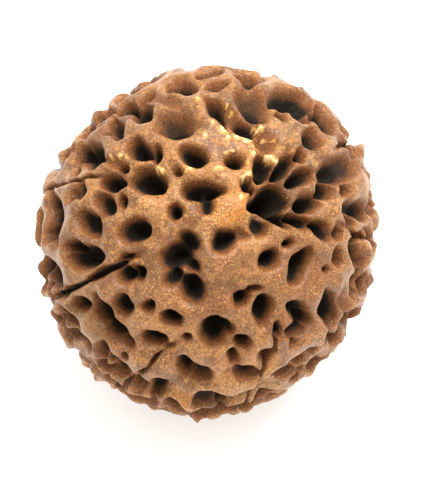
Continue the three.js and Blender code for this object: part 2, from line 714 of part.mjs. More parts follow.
function addRidgePoints(sieve) {
    for (let attempt = 0; attempt < 60000 && sieve.kept.length < MOST_POINTS; attempt += 1) {
        const direction = randomDirection();
        if (!insideOtherPit(null, direction, 1)) {
            sieve.add(direction, RIDGE_STEP);
        }
    }
}

function meshDirections() {
    const sieve = makeSieve();
    addRestSpotPoints(sieve);
    for (const path of clefts) {
        addPathPoints(sieve, path, [0], CLEFT_SPACING);
    }
    addPitPoints(sieve);
    for (const path of clefts) {
        addPathPoints(sieve, path, [-CLEFT_HALF_WIDTH, CLEFT_HALF_WIDTH], CLEFT_SPACING);
    }
    addPathPoints(sieve, terrace, [0, 0.35], CLEFT_SPACING);
    addRidgePoints(sieve);
    return sieve.kept;
}

// The hull of the unit directions joins each point to its neighbours on the ball
function joinNeighbours(directions) {
    const numberOf = new Map(directions.map((direction, index) => [direction, index]));
    const hull = new ConvexHull().setFromPoints(directions);
    const corners = [];
    for (const face of hull.faces) {
        let edge = face.edge;
        do {
            corners.push(numberOf.get(edge.head().point));
            edge = edge.next;
        } while (edge !== face.edge);
    }
    return corners;
}

function makeSeed() {
    const directions = meshDirections();
    const corners = joinNeighbours(directions);
    const geometry = new THREE.BufferGeometry().setFromPoints(directions.map(surfacePoint));
    geometry.setIndex(corners);
    geometry.computeBoundingBox();
    const { min, max } = geometry.boundingBox;
    geometry.translate(-(min.x + max.x) / 2, -(min.y + max.y) / 2, -min.z);
    geometry.computeVertexNormals();
    const wood = new THREE.MeshStandardMaterial({
        color: STONE_BROWN,
        roughness: 0.6,
        metalness: 0,
        flatShading: true,
    });
    const mesh = new THREE.Mesh(geometry, wood);
    mesh.name = 'seed';
    return mesh;
}

const restSpot = findRestSpot();
const feet = FEET.map(makeFoot);
const clefts = CLEFTS.map(finishCleft);
const terrace = grooveDirections(TERRACE);
const swells = makeSwells();
const pits = [
    ...PITS.map((row) => pitFromSight(row, row[5] * row[3])),
    ...STEM_LOBES.map((row) => pitFromSight(row, STEM_HOLLOW_DEPTH)),
    farHollow(),
    ...NOTCHES.map(notchPit),
];
growWildPits(pits, clefts);

const seed = new THREE.Group();
seed.add(makeSeed());

export default seed;
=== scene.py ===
# %% [markdown]
# # A rudraksha seed
#
# The real thing is the woody stone of a fruit: a ball about 25 mm across, with a raised net
# of ridges round deep pits, a few narrow clefts between its cells, and a ragged hollow where
# the stem was. It is one piece of wood, so this lesson makes one mesh.
#
# A solid of the seed comes with the frame, with the right size and about the right pits. It
# is coarse. Here the same pits are grown again on a much finer ball, with soft rims, grain,
# stain, and painted shade and highlights, and the fine seed then stands in for the coarse one.

# %% Load the frame
import json
import math
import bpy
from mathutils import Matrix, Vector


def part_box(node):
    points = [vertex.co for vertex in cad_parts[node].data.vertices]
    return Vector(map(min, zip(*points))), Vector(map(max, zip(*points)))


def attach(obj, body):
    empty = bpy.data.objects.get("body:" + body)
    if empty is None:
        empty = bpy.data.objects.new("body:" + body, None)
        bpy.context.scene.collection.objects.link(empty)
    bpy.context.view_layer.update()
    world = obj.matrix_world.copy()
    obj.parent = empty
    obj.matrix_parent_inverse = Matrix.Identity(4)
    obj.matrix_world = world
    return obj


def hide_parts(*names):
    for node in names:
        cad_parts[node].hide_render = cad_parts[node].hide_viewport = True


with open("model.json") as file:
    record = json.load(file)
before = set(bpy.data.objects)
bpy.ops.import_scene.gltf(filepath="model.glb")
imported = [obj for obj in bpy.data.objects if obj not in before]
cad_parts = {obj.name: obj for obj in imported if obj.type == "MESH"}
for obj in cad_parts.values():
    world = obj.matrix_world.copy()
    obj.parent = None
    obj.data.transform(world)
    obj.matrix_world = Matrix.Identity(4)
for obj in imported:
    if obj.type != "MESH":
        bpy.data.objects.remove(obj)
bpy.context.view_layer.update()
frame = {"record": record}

from types import SimpleNamespace

import bmesh
import bpy
import numpy as np
from mathutils import Matrix, Vector

MM = 0.001
seed_low, seed_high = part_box("seed")
print("the coarse seed measures", [round(side / MM, 2) for side in seed_high - seed_low], "mm")

# %% [markdown]
# ## The line of sight
#
# Everything on the side that was photographed is read in one flat plane through the
# middle of the seed: x to the right and y up, in millimetres. The camera stands square to
# that plane. So the same three directions place the camera and every pit, and a pit lands
# where it was seen. The plane slopes because the camera looks down at the seed.

# %% Directions of sight
SIGHT_SLOPE = math.radians(55)
SIGHT_DISTANCE = 160.0
SIGHT_RIGHT = np.array([1.0, 0.0, 0.0])
SIGHT_UP = np.array([0.0, math.sin(SIGHT_SLOPE), math.cos(SIGHT_SLOPE)])
SIGHT_NEAR = np.array([0.0, -math.cos(SIGHT_SLOPE), math.sin(SIGHT_SLOPE)])

WAIST_RADIUS = 12.35      # middle of the seed to its ridge tops, round the waist
AXIAL_SHARE = 0.94        # stem end to far end, as a share of the width
LIMB_SHARE = 0.985        # nothing is read closer to the outline than this
STEM_HOLLOW = (4.5, 2.8)
TINY = 1e-6               # keeps a division from failing at 0


def unit(vector):
    return vector / np.linalg.norm(vector)


def seen_point(x, y, radius=WAIST_RADIUS):
    """The point of a ball that a line of sight through (x, y) meets first."""
    inside = min(1.0, LIMB_SHARE * radius / max(math.hypot(x, y), TINY))
    across, up = x * inside, y * inside
    far = SIGHT_DISTANCE**2
    slant = across**2 + up**2 + far
    root = math.sqrt(far**2 - slant * (far - radius**2))
    share = (far - root) / slant
    flat = SIGHT_RIGHT * across * share + SIGHT_UP * up * share
    return flat + SIGHT_NEAR * SIGHT_DISTANCE * (1 - share)


STEM_AXIS = unit(seen_point(*STEM_HOLLOW))
FAR_AXIS = -STEM_AXIS
print("the stem end points", [round(float(part), 2) for part in STEM_AXIS])

# %% [markdown]
# The seed rests on its lowest point, and a small spot there is worn flat. The frame says where
# that spot lies, and the middle of the seed follows from it.

# %% Where the seed rests
REST_SPOT_RADIUS = 1.3


def find_rest_spot():
    """The lowest point of the slightly squat ball, worn flat to the rest spot's radius."""
    pole = STEM_AXIS * -STEM_AXIS[2]
    waist = np.array([0.0, 0.0, -1.0]) - pole
    lowest = waist + pole * AXIAL_SHARE**2
    lowest = lowest * WAIST_RADIUS / math.sqrt(-lowest[2])
    lowest[2] += REST_SPOT_RADIUS**2 / (2 * WAIST_RADIUS)
    return lowest


rest_spot = find_rest_spot()
mounts = {mount["name"]: mount for mount in frame["record"]["mounts"]}
SEED_MIDDLE = Vector(mounts["rest_spot"]["pos_m"]) - Vector(rest_spot) * MM
print("middle of the seed in the frame:", [round(part / MM, 2) for part in SEED_MIDDLE])

# %% [markdown]
# ## The camera
#
# The photograph shows 14 pixels to the millimetre, and the seed's middle sits a little to
# the left of the picture's middle and above it. The focal length follows from the distance,
# and a small shift of the lens does the framing, so the camera still looks straight at the
# middle of the seed.

# %% Camera
PHOTO_WIDTH, PHOTO_HEIGHT = 427, 500
PIXELS_PER_MM = 14.0
SEED_AT_PIXEL = (207, 242)
SENSOR = 36.0             # width of the camera's sensor
CLIP_START = 0.01         # metres


def place_camera():
    data = bpy.data.cameras.new("sight")
    data.sensor_width = SENSOR
    data.lens = SENSOR * SIGHT_DISTANCE * PIXELS_PER_MM / PHOTO_HEIGHT
    data.shift_x = (PHOTO_WIDTH / 2 - SEED_AT_PIXEL[0]) / PHOTO_HEIGHT
    data.shift_y = (SEED_AT_PIXEL[1] - PHOTO_HEIGHT / 2) / PHOTO_HEIGHT
    data.clip_start = CLIP_START
    camera = bpy.data.objects.new("sight", data)
    bpy.context.scene.collection.objects.link(camera)
    camera.location = SEED_MIDDLE + Vector(SIGHT_NEAR) * SIGHT_DISTANCE * MM
    camera.rotation_euler = (-Vector(SIGHT_NEAR)).to_track_quat("-Z", "Y").to_euler()
    bpy.context.scene.camera = camera
    return camera


camera = place_camera()
print("camera lens", round(camera.data.lens, 1), "mm")

# %% [markdown]
# ## The pits, as they were read
#
# The net of ridges is what is left between the pits, so the pits are listed and the ridges
# follow. Each pit is an oval: its middle, half its length and half its width, how far it is
# turned, and whether its floor is lost in the dark (a hole), can be made out (a cup) or is
# plain to see (a dish).

# %% Pits on the photographed side
HOLE = 2.4                # depth, as a share of the half-width
CUP = 1.7
DISH = 1.0

PITS = [                  # x, y, half the length, half the width, turn, kind
    # upper left
    (-4.6, 9.35, 0.78, 0.68, 80, HOLE),
    (-6.5, 8.15, 0.8, 0.45, 100, CUP),
    (-8.15, 6.4, 1.12, 0.78, 80, HOLE),
    (-7.75, 8.8, 0.5, 0.25, 25, CUP),
    (-10.2, 5.6, 0.33, 0.2, 60, DISH),
    (-6.2, 5.35, 0.85, 0.42, -20, CUP),
    (-4.75, 6.6, 1.05, 0.75, -35, CUP),
    (-3.4, 6.15, 0.5, 0.3, 90, CUP),
    (-4.0, 4.15, 1.1, 0.82, -5, HOLE),
    (-6.65, 4.3, 0.85, 0.55, 0, CUP),
    (-7.05, 2.7, 0.85, 0.6, -50, CUP),
    (-5.8, 2.8, 0.42, 0.26, 100, CUP),
    # top
    (-2.33, 11.13, 0.62, 0.48, 0, HOLE),
    (-1.15, 11.04, 0.58, 0.55, 0, HOLE),
    (-3.1, 10.2, 1.3, 0.3, -18, DISH),
    (0.2, 12.1, 1.0, 0.45, 10, CUP),
    (0.6, 11.2, 0.75, 0.26, 13, CUP),
    (3.2, 11.8, 0.8, 0.35, -33, CUP),
    (2.95, 9.6, 1.4, 0.95, -45, HOLE),
    (0.7, 9.2, 0.95, 0.52, -50, HOLE),
    (2.4, 7.95, 0.9, 0.48, -30, HOLE),
    (4.1, 6.9, 0.6, 0.42, -45, CUP),
    (-2.2, 8.15, 1.45, 0.95, 5, HOLE),
    (-0.95, 6.05, 0.95, 0.62, -20, HOLE),
    (1.95, 5.6, 0.62, 0.45, -10, HOLE),
    (3.95, 5.2, 0.85, 0.5, -60, HOLE),
    (-1.98, 4.85, 0.3, 0.22, -10, CUP),
    # upper right
    (6.2, 10.35, 1.7, 0.85, -20, HOLE),
    (8.57, 8.95, 1.15, 0.45, -60, HOLE),
    (7.55, 7.4, 0.85, 0.58, -35, CUP),
    (6.6, 6.1, 0.45, 0.3, -50, HOLE),
    (9.6, 5.4, 1.3, 0.95, -20, CUP),
    (5.1, 5.0, 0.7, 0.38, 50, HOLE),
    (6.5, 4.4, 0.8, 0.5, 25, HOLE),
    # left
    (-10.85, 1.55, 1.9, 0.66, 92, CUP),
    (-9.05, 3.6, 0.5, 0.36, 90, HOLE),
    (-8.3, 1.3, 1.05, 0.7, -50, CUP),
    (-8.6, -1.15, 1.25, 0.72, 10, HOLE),
    (-9.5, -0.4, 0.45, 0.4, 0, HOLE),
    (-11.15, -2.15, 1.3, 0.6, -60, HOLE),
    (-7.2, -2.15, 1.3, 0.28, 29, HOLE),
    (-10.05, -3.5, 1.05, 0.22, 22, HOLE),
    (-5.0, 0.8, 1.15, 0.76, 15, HOLE),
    (-5.65, -2.3, 0.48, 0.48, 0, HOLE),
    (-4.7, -2.2, 0.42, 0.5, 0, HOLE),
    (-8.83, -4.4, 0.6, 0.5, -25, CUP),
    (-5.93, -4.4, 0.85, 0.66, -70, HOLE),
    (-4.15, -4.45, 0.45, 0.42, 0, CUP),
    # middle
    (-0.4, 3.6, 1.4, 0.58, 0, CUP),
    (-0.1, 2.45, 0.48, 0.36, 90, HOLE),
    (-2.2, 2.07, 0.46, 0.36, 90, HOLE),
    (1.2, 0.0, 0.85, 0.43, 45, HOLE),
    (2.25, 0.5, 0.7, 0.35, -10, DISH),
    (2.93, 3.86, 0.58, 0.4, -10, HOLE),
    (3.67, 1.08, 0.68, 0.48, 110, CUP),
    (-2.2, -0.95, 1.05, 0.85, 30, HOLE),
    (-1.0, -0.05, 0.6, 0.42, -50, HOLE),
    (-1.25, -1.6, 0.6, 0.36, -30, HOLE),
    (-2.4, -2.55, 0.6, 0.42, 15, HOLE),
    (-1.05, -3.3, 0.85, 0.62, -60, HOLE),
    (2.3, -3.93, 0.55, 0.46, 20, HOLE),
    (4.22, -1.17, 0.75, 0.5, 45, HOLE),
    (3.87, -4.7, 1.05, 0.58, 77, HOLE),
    # right
    (6.95, 2.62, 0.85, 0.52, 5, HOLE),
    (6.4, 1.3, 0.78, 0.42, -25, HOLE),
    (8.36, 3.76, 0.7, 0.48, -65, HOLE),
    (8.2, 0.85, 0.85, 0.48, -65, HOLE),
    (9.3, 0.65, 0.5, 0.3, 75, CUP),
    (9.12, -1.03, 0.58, 0.32, 95, CUP),
    (5.56, -0.08, 0.33, 0.24, 20, HOLE),
    (6.35, -1.6, 1.4, 0.5, 62, HOLE),
    (11.1, 2.33, 0.95, 0.65, -40, CUP),
    (10.0, 2.6, 0.55, 0.22, 80, DISH),
    (11.45, 0.65, 0.45, 0.2, -55, HOLE),
    (10.72, -0.9, 0.95, 0.44, 95, CUP),
    (10.4, -2.75, 0.6, 0.35, 75, CUP),
    (8.43, -4.7, 1.15, 0.55, 88, HOLE),
    (9.65, -4.3, 0.8, 0.2, 95, DISH),
    # lower left
    (-7.4, -4.75, 1.15, 0.52, -70, HOLE),
    (-6.7, -6.25, 1.1, 0.5, -40, HOLE),
    (-5.7, -7.15, 0.5, 0.36, -30, CUP),
    (-9.8, -5.4, 1.05, 0.35, -50, HOLE),
    (-9.4, -6.6, 0.9, 0.28, -25, CUP),
    (-7.5, -7.7, 0.72, 0.38, -75, CUP),
    (-8.0, -9.0, 0.65, 0.32, -50, DISH),
    (-6.0, -8.95, 0.72, 0.5, -15, CUP),
    (-6.6, -8.3, 0.3, 0.22, -40, HOLE),
    # bottom
    (-2.45, -5.3, 0.75, 0.5, -15, HOLE),
    (-3.83, -6.7, 0.85, 0.5, -15, HOLE),
    (0.25, -6.2, 1.1, 0.62, 82, HOLE),
    (1.2, -5.75, 0.75, 0.4, -25, HOLE),
    (2.5, -6.93, 0.56, 0.34, -10, HOLE),
    (1.83, -7.95, 0.5, 0.36, 90, CUP),
    (4.17, -7.9, 0.45, 0.36, 30, CUP),
    (2.85, -9.36, 0.95, 0.4, -8, CUP),
    (-1.55, -8.7, 0.7, 0.48, -35, HOLE),
    (-0.35, -9.4, 0.8, 0.38, -15, CUP),
    (-3.5, -10.3, 0.74, 0.42, 90, HOLE),
    (-2.2, -10.5, 0.6, 0.34, -30, HOLE),
    (1.8, -10.95, 1.2, 0.28, 0, HOLE),
    (-0.3, -11.73, 0.85, 0.3, 8, CUP),
    (0.98, -11.67, 0.42, 0.32, 0, HOLE),
    # lower right
    (6.35, -4.7, 0.7, 0.42, -15, HOLE),
    (6.9, -5.5, 0.48, 0.4, 0, HOLE),
    (6.25, -6.3, 0.65, 0.4, 25, HOLE),
    (8.7, -6.6, 0.55, 0.25, 60, DISH),
    (10.3, -5.0, 0.5, 0.22, 50, DISH),
    (7.5, -7.65, 0.6, 0.24, 25, CUP),
    (6.45, -8.3, 0.6, 0.24, 20, CUP),
    (7.4, -8.75, 0.7, 0.25, 28, CUP),
    (5.5, -9.35, 0.85, 0.28, 15, CUP),
    (4.8, -10.6, 0.4, 0.22, 30, DISH),
]
STEM_LOBES = [            # of the stem hollow, without a kind
    (4.5, 2.8, 1.1, 0.9, 90),
    (3.4, 2.55, 0.6, 0.34, 20),
    (5.0, 1.65, 0.65, 0.4, -35),
]
print(len(PITS), "pits read")

# %% [markdown]
# Some pits were read again from close by, for the fine seed only. They are kept under the
# middle of the pit that they stand in for. Two more kinds come in here: a slot is a narrow
# pit with a deep crack in it, and the hollow is the one at the stem. In the floors of the
# larger pits lesser holes can be seen, so these are listed too.

# %% Pits read again from close by
SLOT = "slot"
HOLLOW = "hollow"
REREAD = {                # the pit's old x, y: its row, read again
    (-2.2, -10.5): (-2.2, -10.6, 0.6, 0.4, -30, HOLE),
    (-2.2, 8.15): (-2.3, 8.15, 1.45, 0.95, 5, DISH),
    (-9.05, 3.6): (-9.05, 3.7, 0.52, 0.36, 90, HOLE),
    (-8.15, 6.4): (-8.2, 6.25, 0.95, 0.72, 80, HOLE),
    (-4.75, 6.6): (-4.85, 6.6, 0.92, 0.7, -40, HOLE),
    (-3.4, 6.15): (-3.5, 6.1, 0.48, 0.3, 90, HOLE),
    (-6.2, 5.35): (-6.5, 5.6, 0.85, 0.34, -18, DISH),
    (-6.65, 4.3): (-6.75, 4.2, 0.85, 0.6, 5, HOLE),
    (-7.05, 2.7): (-7.2, 2.6, 0.82, 0.58, -60, CUP),
    (-5.8, 2.8): (-5.78, 2.8, 0.32, 0.2, 100, HOLE),
    (-2.33, 11.13): (-1.8, 11.15, 1.1, 0.55, -5, CUP),
    (-1.15, 11.04): (-1.2, 10.95, 0.4, 0.25, 0, CUP),
    (0.6, 11.2): (0.65, 11.3, 0.72, 0.2, 8, CUP),
    (0.2, 12.1): (0.2, 12.15, 0.9, 0.35, 5, CUP),
    (2.95, 9.6): (3.25, 9.85, 1.5, 0.85, -38, DISH),
    (0.7, 9.2): (0.62, 9.33, 0.95, 0.42, -50, HOLE),
    (2.4, 7.95): (2.7, 7.85, 0.85, 0.36, -30, HOLE),
    (3.95, 5.2): (3.9, 5.3, 0.75, 0.46, -60, HOLE),
    (4.1, 6.9): (4.15, 6.95, 0.7, 0.48, -45, DISH),
    (5.1, 5.0): (5.2, 5.15, 0.7, 0.4, 50, HOLE),
    (6.5, 4.4): (6.75, 4.62, 0.74, 0.45, 22, HOLE),
    (6.95, 2.62): (6.95, 2.65, 0.72, 0.5, 5, HOLE),
    (6.4, 1.3): (6.35, 1.42, 0.72, 0.36, -25, HOLE),
    (8.2, 0.85): (8.15, 0.8, 0.8, 0.5, -62, HOLE),
    (8.36, 3.76): (8.45, 3.75, 0.72, 0.52, -65, HOLE),
    (9.6, 5.4): (9.85, 5.45, 1.25, 1.05, 0, DISH),
    (-0.4, 3.6): (-0.25, 3.5, 1.45, 0.72, 0, CUP),
    (-0.1, 2.45): (-0.08, 2.6, 0.55, 0.38, 90, HOLE),
    (-5.0, 0.8): (-4.95, 0.8, 1.05, 0.78, 15, HOLE),
    (1.2, 0.0): (1.25, 0.1, 0.9, 0.56, 38, HOLE),
    (-2.2, -0.95): (-2.1, -1.05, 1.2, 0.95, 20, HOLE),
    (-1.0, -0.05): (-1.2, 0.05, 0.72, 0.46, -55, HOLE),
    (-1.25, -1.6): (-1.05, -1.6, 0.6, 0.4, -30, HOLE),
    (-2.4, -2.55): (-2.3, -2.45, 0.64, 0.58, 15, HOLE),
    (-1.05, -3.3): (-1.0, -3.2, 0.92, 0.72, -60, HOLE),
    (-7.2, -2.15): (-7.35, -2.2, 1.5, 0.24, 28, SLOT),
    (-10.05, -3.5): (-10.0, -3.5, 1.2, 0.2, 25, SLOT),
    (-8.83, -4.4): (-8.95, -4.45, 0.5, 0.42, -25, HOLE),
    (-7.4, -4.75): (-7.25, -4.9, 1.35, 0.62, -68, HOLE),
    (-6.7, -6.25): (-6.5, -6.25, 1.0, 0.6, -45, HOLE),
    (-5.93, -4.4): (-5.95, -4.45, 0.72, 0.52, -72, HOLE),
    (-3.83, -6.7): (-3.6, -6.75, 0.8, 0.48, -15, HOLE),
    (0.25, -6.2): (0.5, -6.1, 1.05, 0.8, 100, HOLE),
    (1.2, -5.75): (1.15, -5.85, 0.8, 0.52, -25, HOLE),
    (-1.55, -8.7): (-1.4, -8.85, 0.8, 0.52, -35, HOLE),
    (-0.35, -9.4): (-0.4, -9.35, 0.85, 0.45, -20, CUP),
    (8.43, -4.7): (8.65, -4.75, 1.28, 0.65, 95, HOLE),
    (6.35, -4.7): (6.3, -4.7, 0.65, 0.48, -15, HOLE),
    (6.9, -5.5): (6.8, -5.45, 0.55, 0.46, 0, HOLE),
    (6.25, -6.3): (6.3, -6.35, 0.7, 0.46, 25, HOLE),
}
FINE_LOBES = [            # of the stem hollow
    (4.3, 2.65, 1.1, 0.92, 95), (3.45, 2.45, 0.8, 0.3, 12), (5.05, 1.5, 0.65, 0.3, -42),
]
FLOOR_HOLES = [           # x, y, half-axes and turn of lesser holes in the pits' floors
    (-4.45, 9.2, 0.4, 0.35, 0), (-6.3, 7.85, 0.4, 0.22, 100), (-7.9, 6.05, 0.5, 0.4, 80),
    (-6.1, 5.3, 0.3, 0.15, -15), (-4.6, 6.4, 0.45, 0.35, -40), (-4.6, 3.8, 0.38, 0.34, 0),
    (-3.5, 3.9, 0.4, 0.36, 0), (-0.7, 5.95, 0.42, 0.35, 0), (9.25, 5.1, 0.6, 0.45, -20),
    (-6.85, 4.05, 0.36, 0.3, 0), (-6.05, 4.25, 0.28, 0.24, 0), (-6.9, 2.5, 0.4, 0.34, -60),
    (-2.2, 7.85, 0.9, 0.5, 5), (3.45, 9.15, 0.85, 0.34, -38), (1.0, 9.15, 0.4, 0.3, -42),
    (6.6, 4.5, 0.5, 0.3, 22), (6.95, 2.6, 0.6, 0.4, 5), (5.0, 5.0, 0.5, 0.3, 50),
    (6.5, -1.7, 0.9, 0.3, 62), (-2.4, -1.2, 0.7, 0.5, 20), (-1.1, 3.5, 0.5, 0.35, 60),
    (0.4, 3.7, 0.5, 0.3, 0),
]
print(len(REREAD), "pits read again,", len(FLOOR_HOLES), "holes in the floors of pits")

# %% [markdown]
# The finest marks are left off the coarse seed and only live here: pin holes, short cracks
# and the lesser dimples between the pits.

# %% Fine marks on the photographed side
FINE_MARKS = [            # columns as for the pits
    (1.7, 8.6, 0.75, 0.36, -42, DISH),
    (-7.65, 8.2, 0.42, 0.18, 30, DISH),
    (-9.3, 6.2, 0.25, 0.12, 70, CUP),
    (-5.95, 9.4, 0.12, 0.12, 0, CUP),
    (-7.2, 7.7, 0.12, 0.1, 0, CUP),
    (-4.93, 10.73, 0.26, 0.15, 45, CUP),
    (2.0, 12.4, 0.42, 0.15, 0, DISH),
    (5.2, 8.8, 0.42, 0.15, -45, CUP),
    (9.6, 7.05, 0.13, 0.11, 0, HOLE),
    (11.1, 6.4, 0.5, 0.12, -65, DISH),
    (-5.5, -1.0, 0.5, 0.09, 22, HOLE),
    (10.1, 1.5, 0.33, 0.14, -50, CUP),
    (10.45, 0.25, 0.28, 0.13, 25, HOLE),
    (8.2, -1.9, 0.16, 0.12, 20, CUP),
    (3.3, -3.2, 0.42, 0.12, 15, CUP),
    (2.9, -3.35, 0.16, 0.1, 40, HOLE),
    (5.05, -6.1, 0.45, 0.13, 90, HOLE),
    (-7.2, -9.65, 0.2, 0.18, 0, CUP),
    (-5.8, -8.1, 0.12, 0.1, 0, HOLE),
    (-1.4, -6.55, 0.18, 0.07, 45, HOLE),
    (-1.7, -12.4, 0.33, 0.1, -20, CUP),
    (6.0, -7.1, 0.12, 0.1, 0, CUP),
    (1.5, -9.0, 0.14, 0.11, 0, DISH),
]
print(len(FINE_MARKS), "fine marks read")

# %% [markdown]
# ## Clefts and steps
#
# The stone is made of cells, and a narrow cleft marks each joint between two cells. Each
# cleft is a line of a few points that leads away from the stem hollow.
#
# Three steps in the ground are lines too. Low on the near side one lip overhangs the next
# tier, like the edge of a terrace. A shallow trough runs down from the top to the stem
# hollow, and left of that hollow the ground is high.

# %% Clefts and steps, as read
CLEFTS = [                # points x, y along each
    [(-2.4, 5.0), (-4.6, 5.3), (-6.4, 5.05), (-9.0, 4.75), (-11.0, 4.2)],
    [(-4.8, -0.7), (-6.0, -1.5), (-7.2, -2.15), (-8.6, -2.8), (-10.0, -3.5), (-11.1, -4.2)],
    [(-1.5, -6.7), (-2.1, -7.4), (-3.0, -7.8), (-3.7, -8.4), (-4.5, -9.1), (-5.8, -10.2)],
    [(5.1, -5.7), (5.05, -7.2), (5.0, -8.3), (4.4, -9.0), (3.9, -9.8)],
    [(9.8, 1.5), (10.8, 0.8), (11.65, 0.3)],
    [(4.4, 6.0), (3.3, 7.4), (1.6, 8.6), (0.1, 10.0)],
    [(8.9, 6.5), (9.6, 7.0), (10.3, 7.2)],
]
CLEFTS_OPEN_AT = (2, 0, 1, 0, 0, 6, 0)    # the point of each where the fine seed's gap starts
TERRACE = [
    (-3.5, -9.5), (-2.4, -9.9), (-1.2, -10.65), (0.3, -10.5), (1.7, -10.65), (3.3, -10.5),
    (4.0, -9.7),
]
TERRACE_DROP = 1.15
TERRACE_REACH = 2.6
TROUGH = [(-0.8, 10.6), (0.1, 9.85), (1.0, 8.8), (1.9, 7.7), (3.0, 7.3), (3.5, 6.8), (3.7, 6.3)]
TROUGH_DROP = 0.4
TROUGH_REACH = 2.0
PLATEAU = [               # edge of the high ground left of the stem hollow
    (6.2, 6.6), (5.4, 6.0), (5.0, 5.4), (4.3, 5.7), (3.7, 6.05), (3.3, 5.7), (3.5, 4.9),
    (3.2, 3.6), (2.8, 2.4), (3.6, 2.0), (5.4, 1.1), (6.8, 0.7), (8.0, 0.2),
]
PLATEAU_DROP = 0.9
PLATEAU_REACH = 3.3
print(len(CLEFTS), "clefts read")

# %% [markdown]
# The outline of the seed is rough. Ridge junctions stand out from it as knobs, and where a pit
# is seen from the side it bites a notch. Both are read as angles round the outline, turning
# from the right towards the top. Round the stem hollow the ground sinks, like a basin.

# %% Outline and basin, as read
KNOBS = [                 # angle, height, reach
    (5.5, 0.25, 0.7), (31, 0.15, 0.9), (40, 0.45, 0.6), (50, 0.3, 0.9), (82, 0.3, 0.9),
    (118, 0.3, 1.1), (131, 0.25, 0.6), (150, 0.25, 0.6), (158, 0.25, 0.7), (170, 0.45, 0.8),
    (193, 0.3, 0.9), (210, 0.25, 0.9), (227, 0.4, 0.9), (232, 0.2, 0.8), (247, 0.3, 1.0),
    (266, 0.15, 1.2), (284, 0.15, 0.8), (308.5, 0.3, 0.6), (337, 0.15, 0.8),
]
NOTCHES = [               # angle, half-width, depth
    (1.5, 0.3, 0.6), (35, 0.35, 0.75), (71, 0.35, 0.55), (95, 0.7, 0.7), (127.5, 0.45, 0.75),
    (144, 0.35, 0.5), (153, 0.25, 0.3), (184, 0.6, 0.35), (201, 0.35, 0.65), (221, 0.6, 0.55),
    (234.5, 0.3, 0.8), (277, 0.6, 0.45), (302, 0.6, 0.4), (321, 0.7, 0.5), (352, 0.7, 0.25),
]
BASIN = (5.2, 3.2, 1.9, 0.4)    # x, y, reach, depth
print(len(KNOBS), "knobs and", len(NOTCHES), "notches read")

# %% [markdown]
# ## The side that nobody sees
#
# The back of the seed has pits of its own. They are drawn at random, but from a generator
# written out here, so that the same seed grows on every run. It is the generator that grew
# the coarse solid too. Its numbers have to be drawn in the same order: first the clefts'
# wandering, then the swells of the surface, then the pits.

# %% A generator of its own
MULTIPLIER = 16807
MODULUS = 2**31 - 1       # a prime number
SEED_NUMBER = 4171


class Chance:
    """The next state is the remainder of state times multiplier, over the modulus."""

    def __init__(self, seed):
        self.state = seed

    def draw(self):
        self.state = self.state * MULTIPLIER % MODULUS
        return self.state / MODULUS

    def between(self, low, high):
        return low + (high - low) * self.draw()

    def direction(self):
        height = 2 * self.draw() - 1
        turn = 2 * math.pi * self.draw()
        ring = math.sqrt(1 - height * height)
        return np.array([ring * math.cos(turn), ring * math.sin(turn), height])


chance = Chance(SEED_NUMBER)
print("generator number", SEED_NUMBER)

# %% [markdown]
# The clefts draw from it first. Each goes on from where it was last seen, wandering a little,
# until it is near the far end.

# %% Clefts over the hidden side
CLEFT_END = 3.0           # the clefts stop this far from the middle of the far end
CLEFT_STEP = 2.2          # length of one piece of the way there
CLEFT_WANDER = 0.5


def turned(vector, axis, angle):
    """The vector, turned about a unit axis."""
    along = axis * (axis @ vector)
    return along + (vector - along) * math.cos(angle) + np.cross(axis, vector) * math.sin(angle)


def finish_cleft(line):
    path = [unit(seen_point(x, y)) for x, y in line]
    start = path[-1]
    stop = math.acos(start @ FAR_AXIS) - CLEFT_END / WAIST_RADIUS
    pivot = unit(np.cross(start, FAR_AXIS))
    count = round(stop * WAIST_RADIUS / CLEFT_STEP)
    for step in range(1, count + 1):
        stray = CLEFT_WANDER / WAIST_RADIUS * (2 * chance.draw() - 1)
        path.append(unit(turned(start, pivot, stop * step / count) + pivot * stray))
    return np.array(path)


def path_of(line):
    return np.array([unit(seen_point(x, y)) for x, y in line])


clefts = [finish_cleft(line) for line in CLEFTS]
steps = [
    (path_of(TERRACE), TERRACE_DROP, TERRACE_REACH),
    (path_of(TROUGH[::-1]), TROUGH_DROP, TROUGH_REACH),
    (path_of(PLATEAU[::-1]), PLATEAU_DROP, PLATEAU_REACH),
]
print(len(clefts), "clefts of", sum(len(path) for path in clefts), "points,", len(steps), "steps")

# %% [markdown]
# Ridge tops aren't level. Waves run through the ball in all directions, and where they meet
# the wall they swell it. The coarse seed has only the long ones. What only the fine seed has
# is drawn from a second generator, so that it can't disturb the first.

# %% Swells and ripples of the ridge tops
SWELL_COUNT = 9
SWELL_HEIGHT = 0.12
SWELL_LENGTH = 3.4        # from one crest to the next
RIPPLE_COUNT = 12
RIPPLE_HEIGHT = 0.05
RIPPLE_LENGTH = 1.5
FINER_NUMBER = 97


def make_waves(count, length, source):
    """Headings and phases of waves that run through the ball in all directions."""
    headings = []
    phases = []
    for _ in range(count):
        headings.append(source.direction() * 2 * math.pi * WAIST_RADIUS / length)
        phases.append(2 * math.pi * source.draw())
    return np.array(headings).T, np.array(phases)


def wave_sum(waves, ways):
    """The waves added up at each direction, with a spread of about 1."""
    headings, phases = waves
    total = np.zeros(len(ways))
    for heading, phase in zip(headings.T, phases):
        total += np.sin(ways @ heading + phase)
    return total / math.sqrt(len(phases) / 2)


swells = make_waves(SWELL_COUNT, SWELL_LENGTH, chance)
finer = Chance(FINER_NUMBER)
ripples = make_waves(RIPPLE_COUNT, RIPPLE_LENGTH, finer)
print(SWELL_COUNT, "swells and", RIPPLE_COUNT, "ripples")

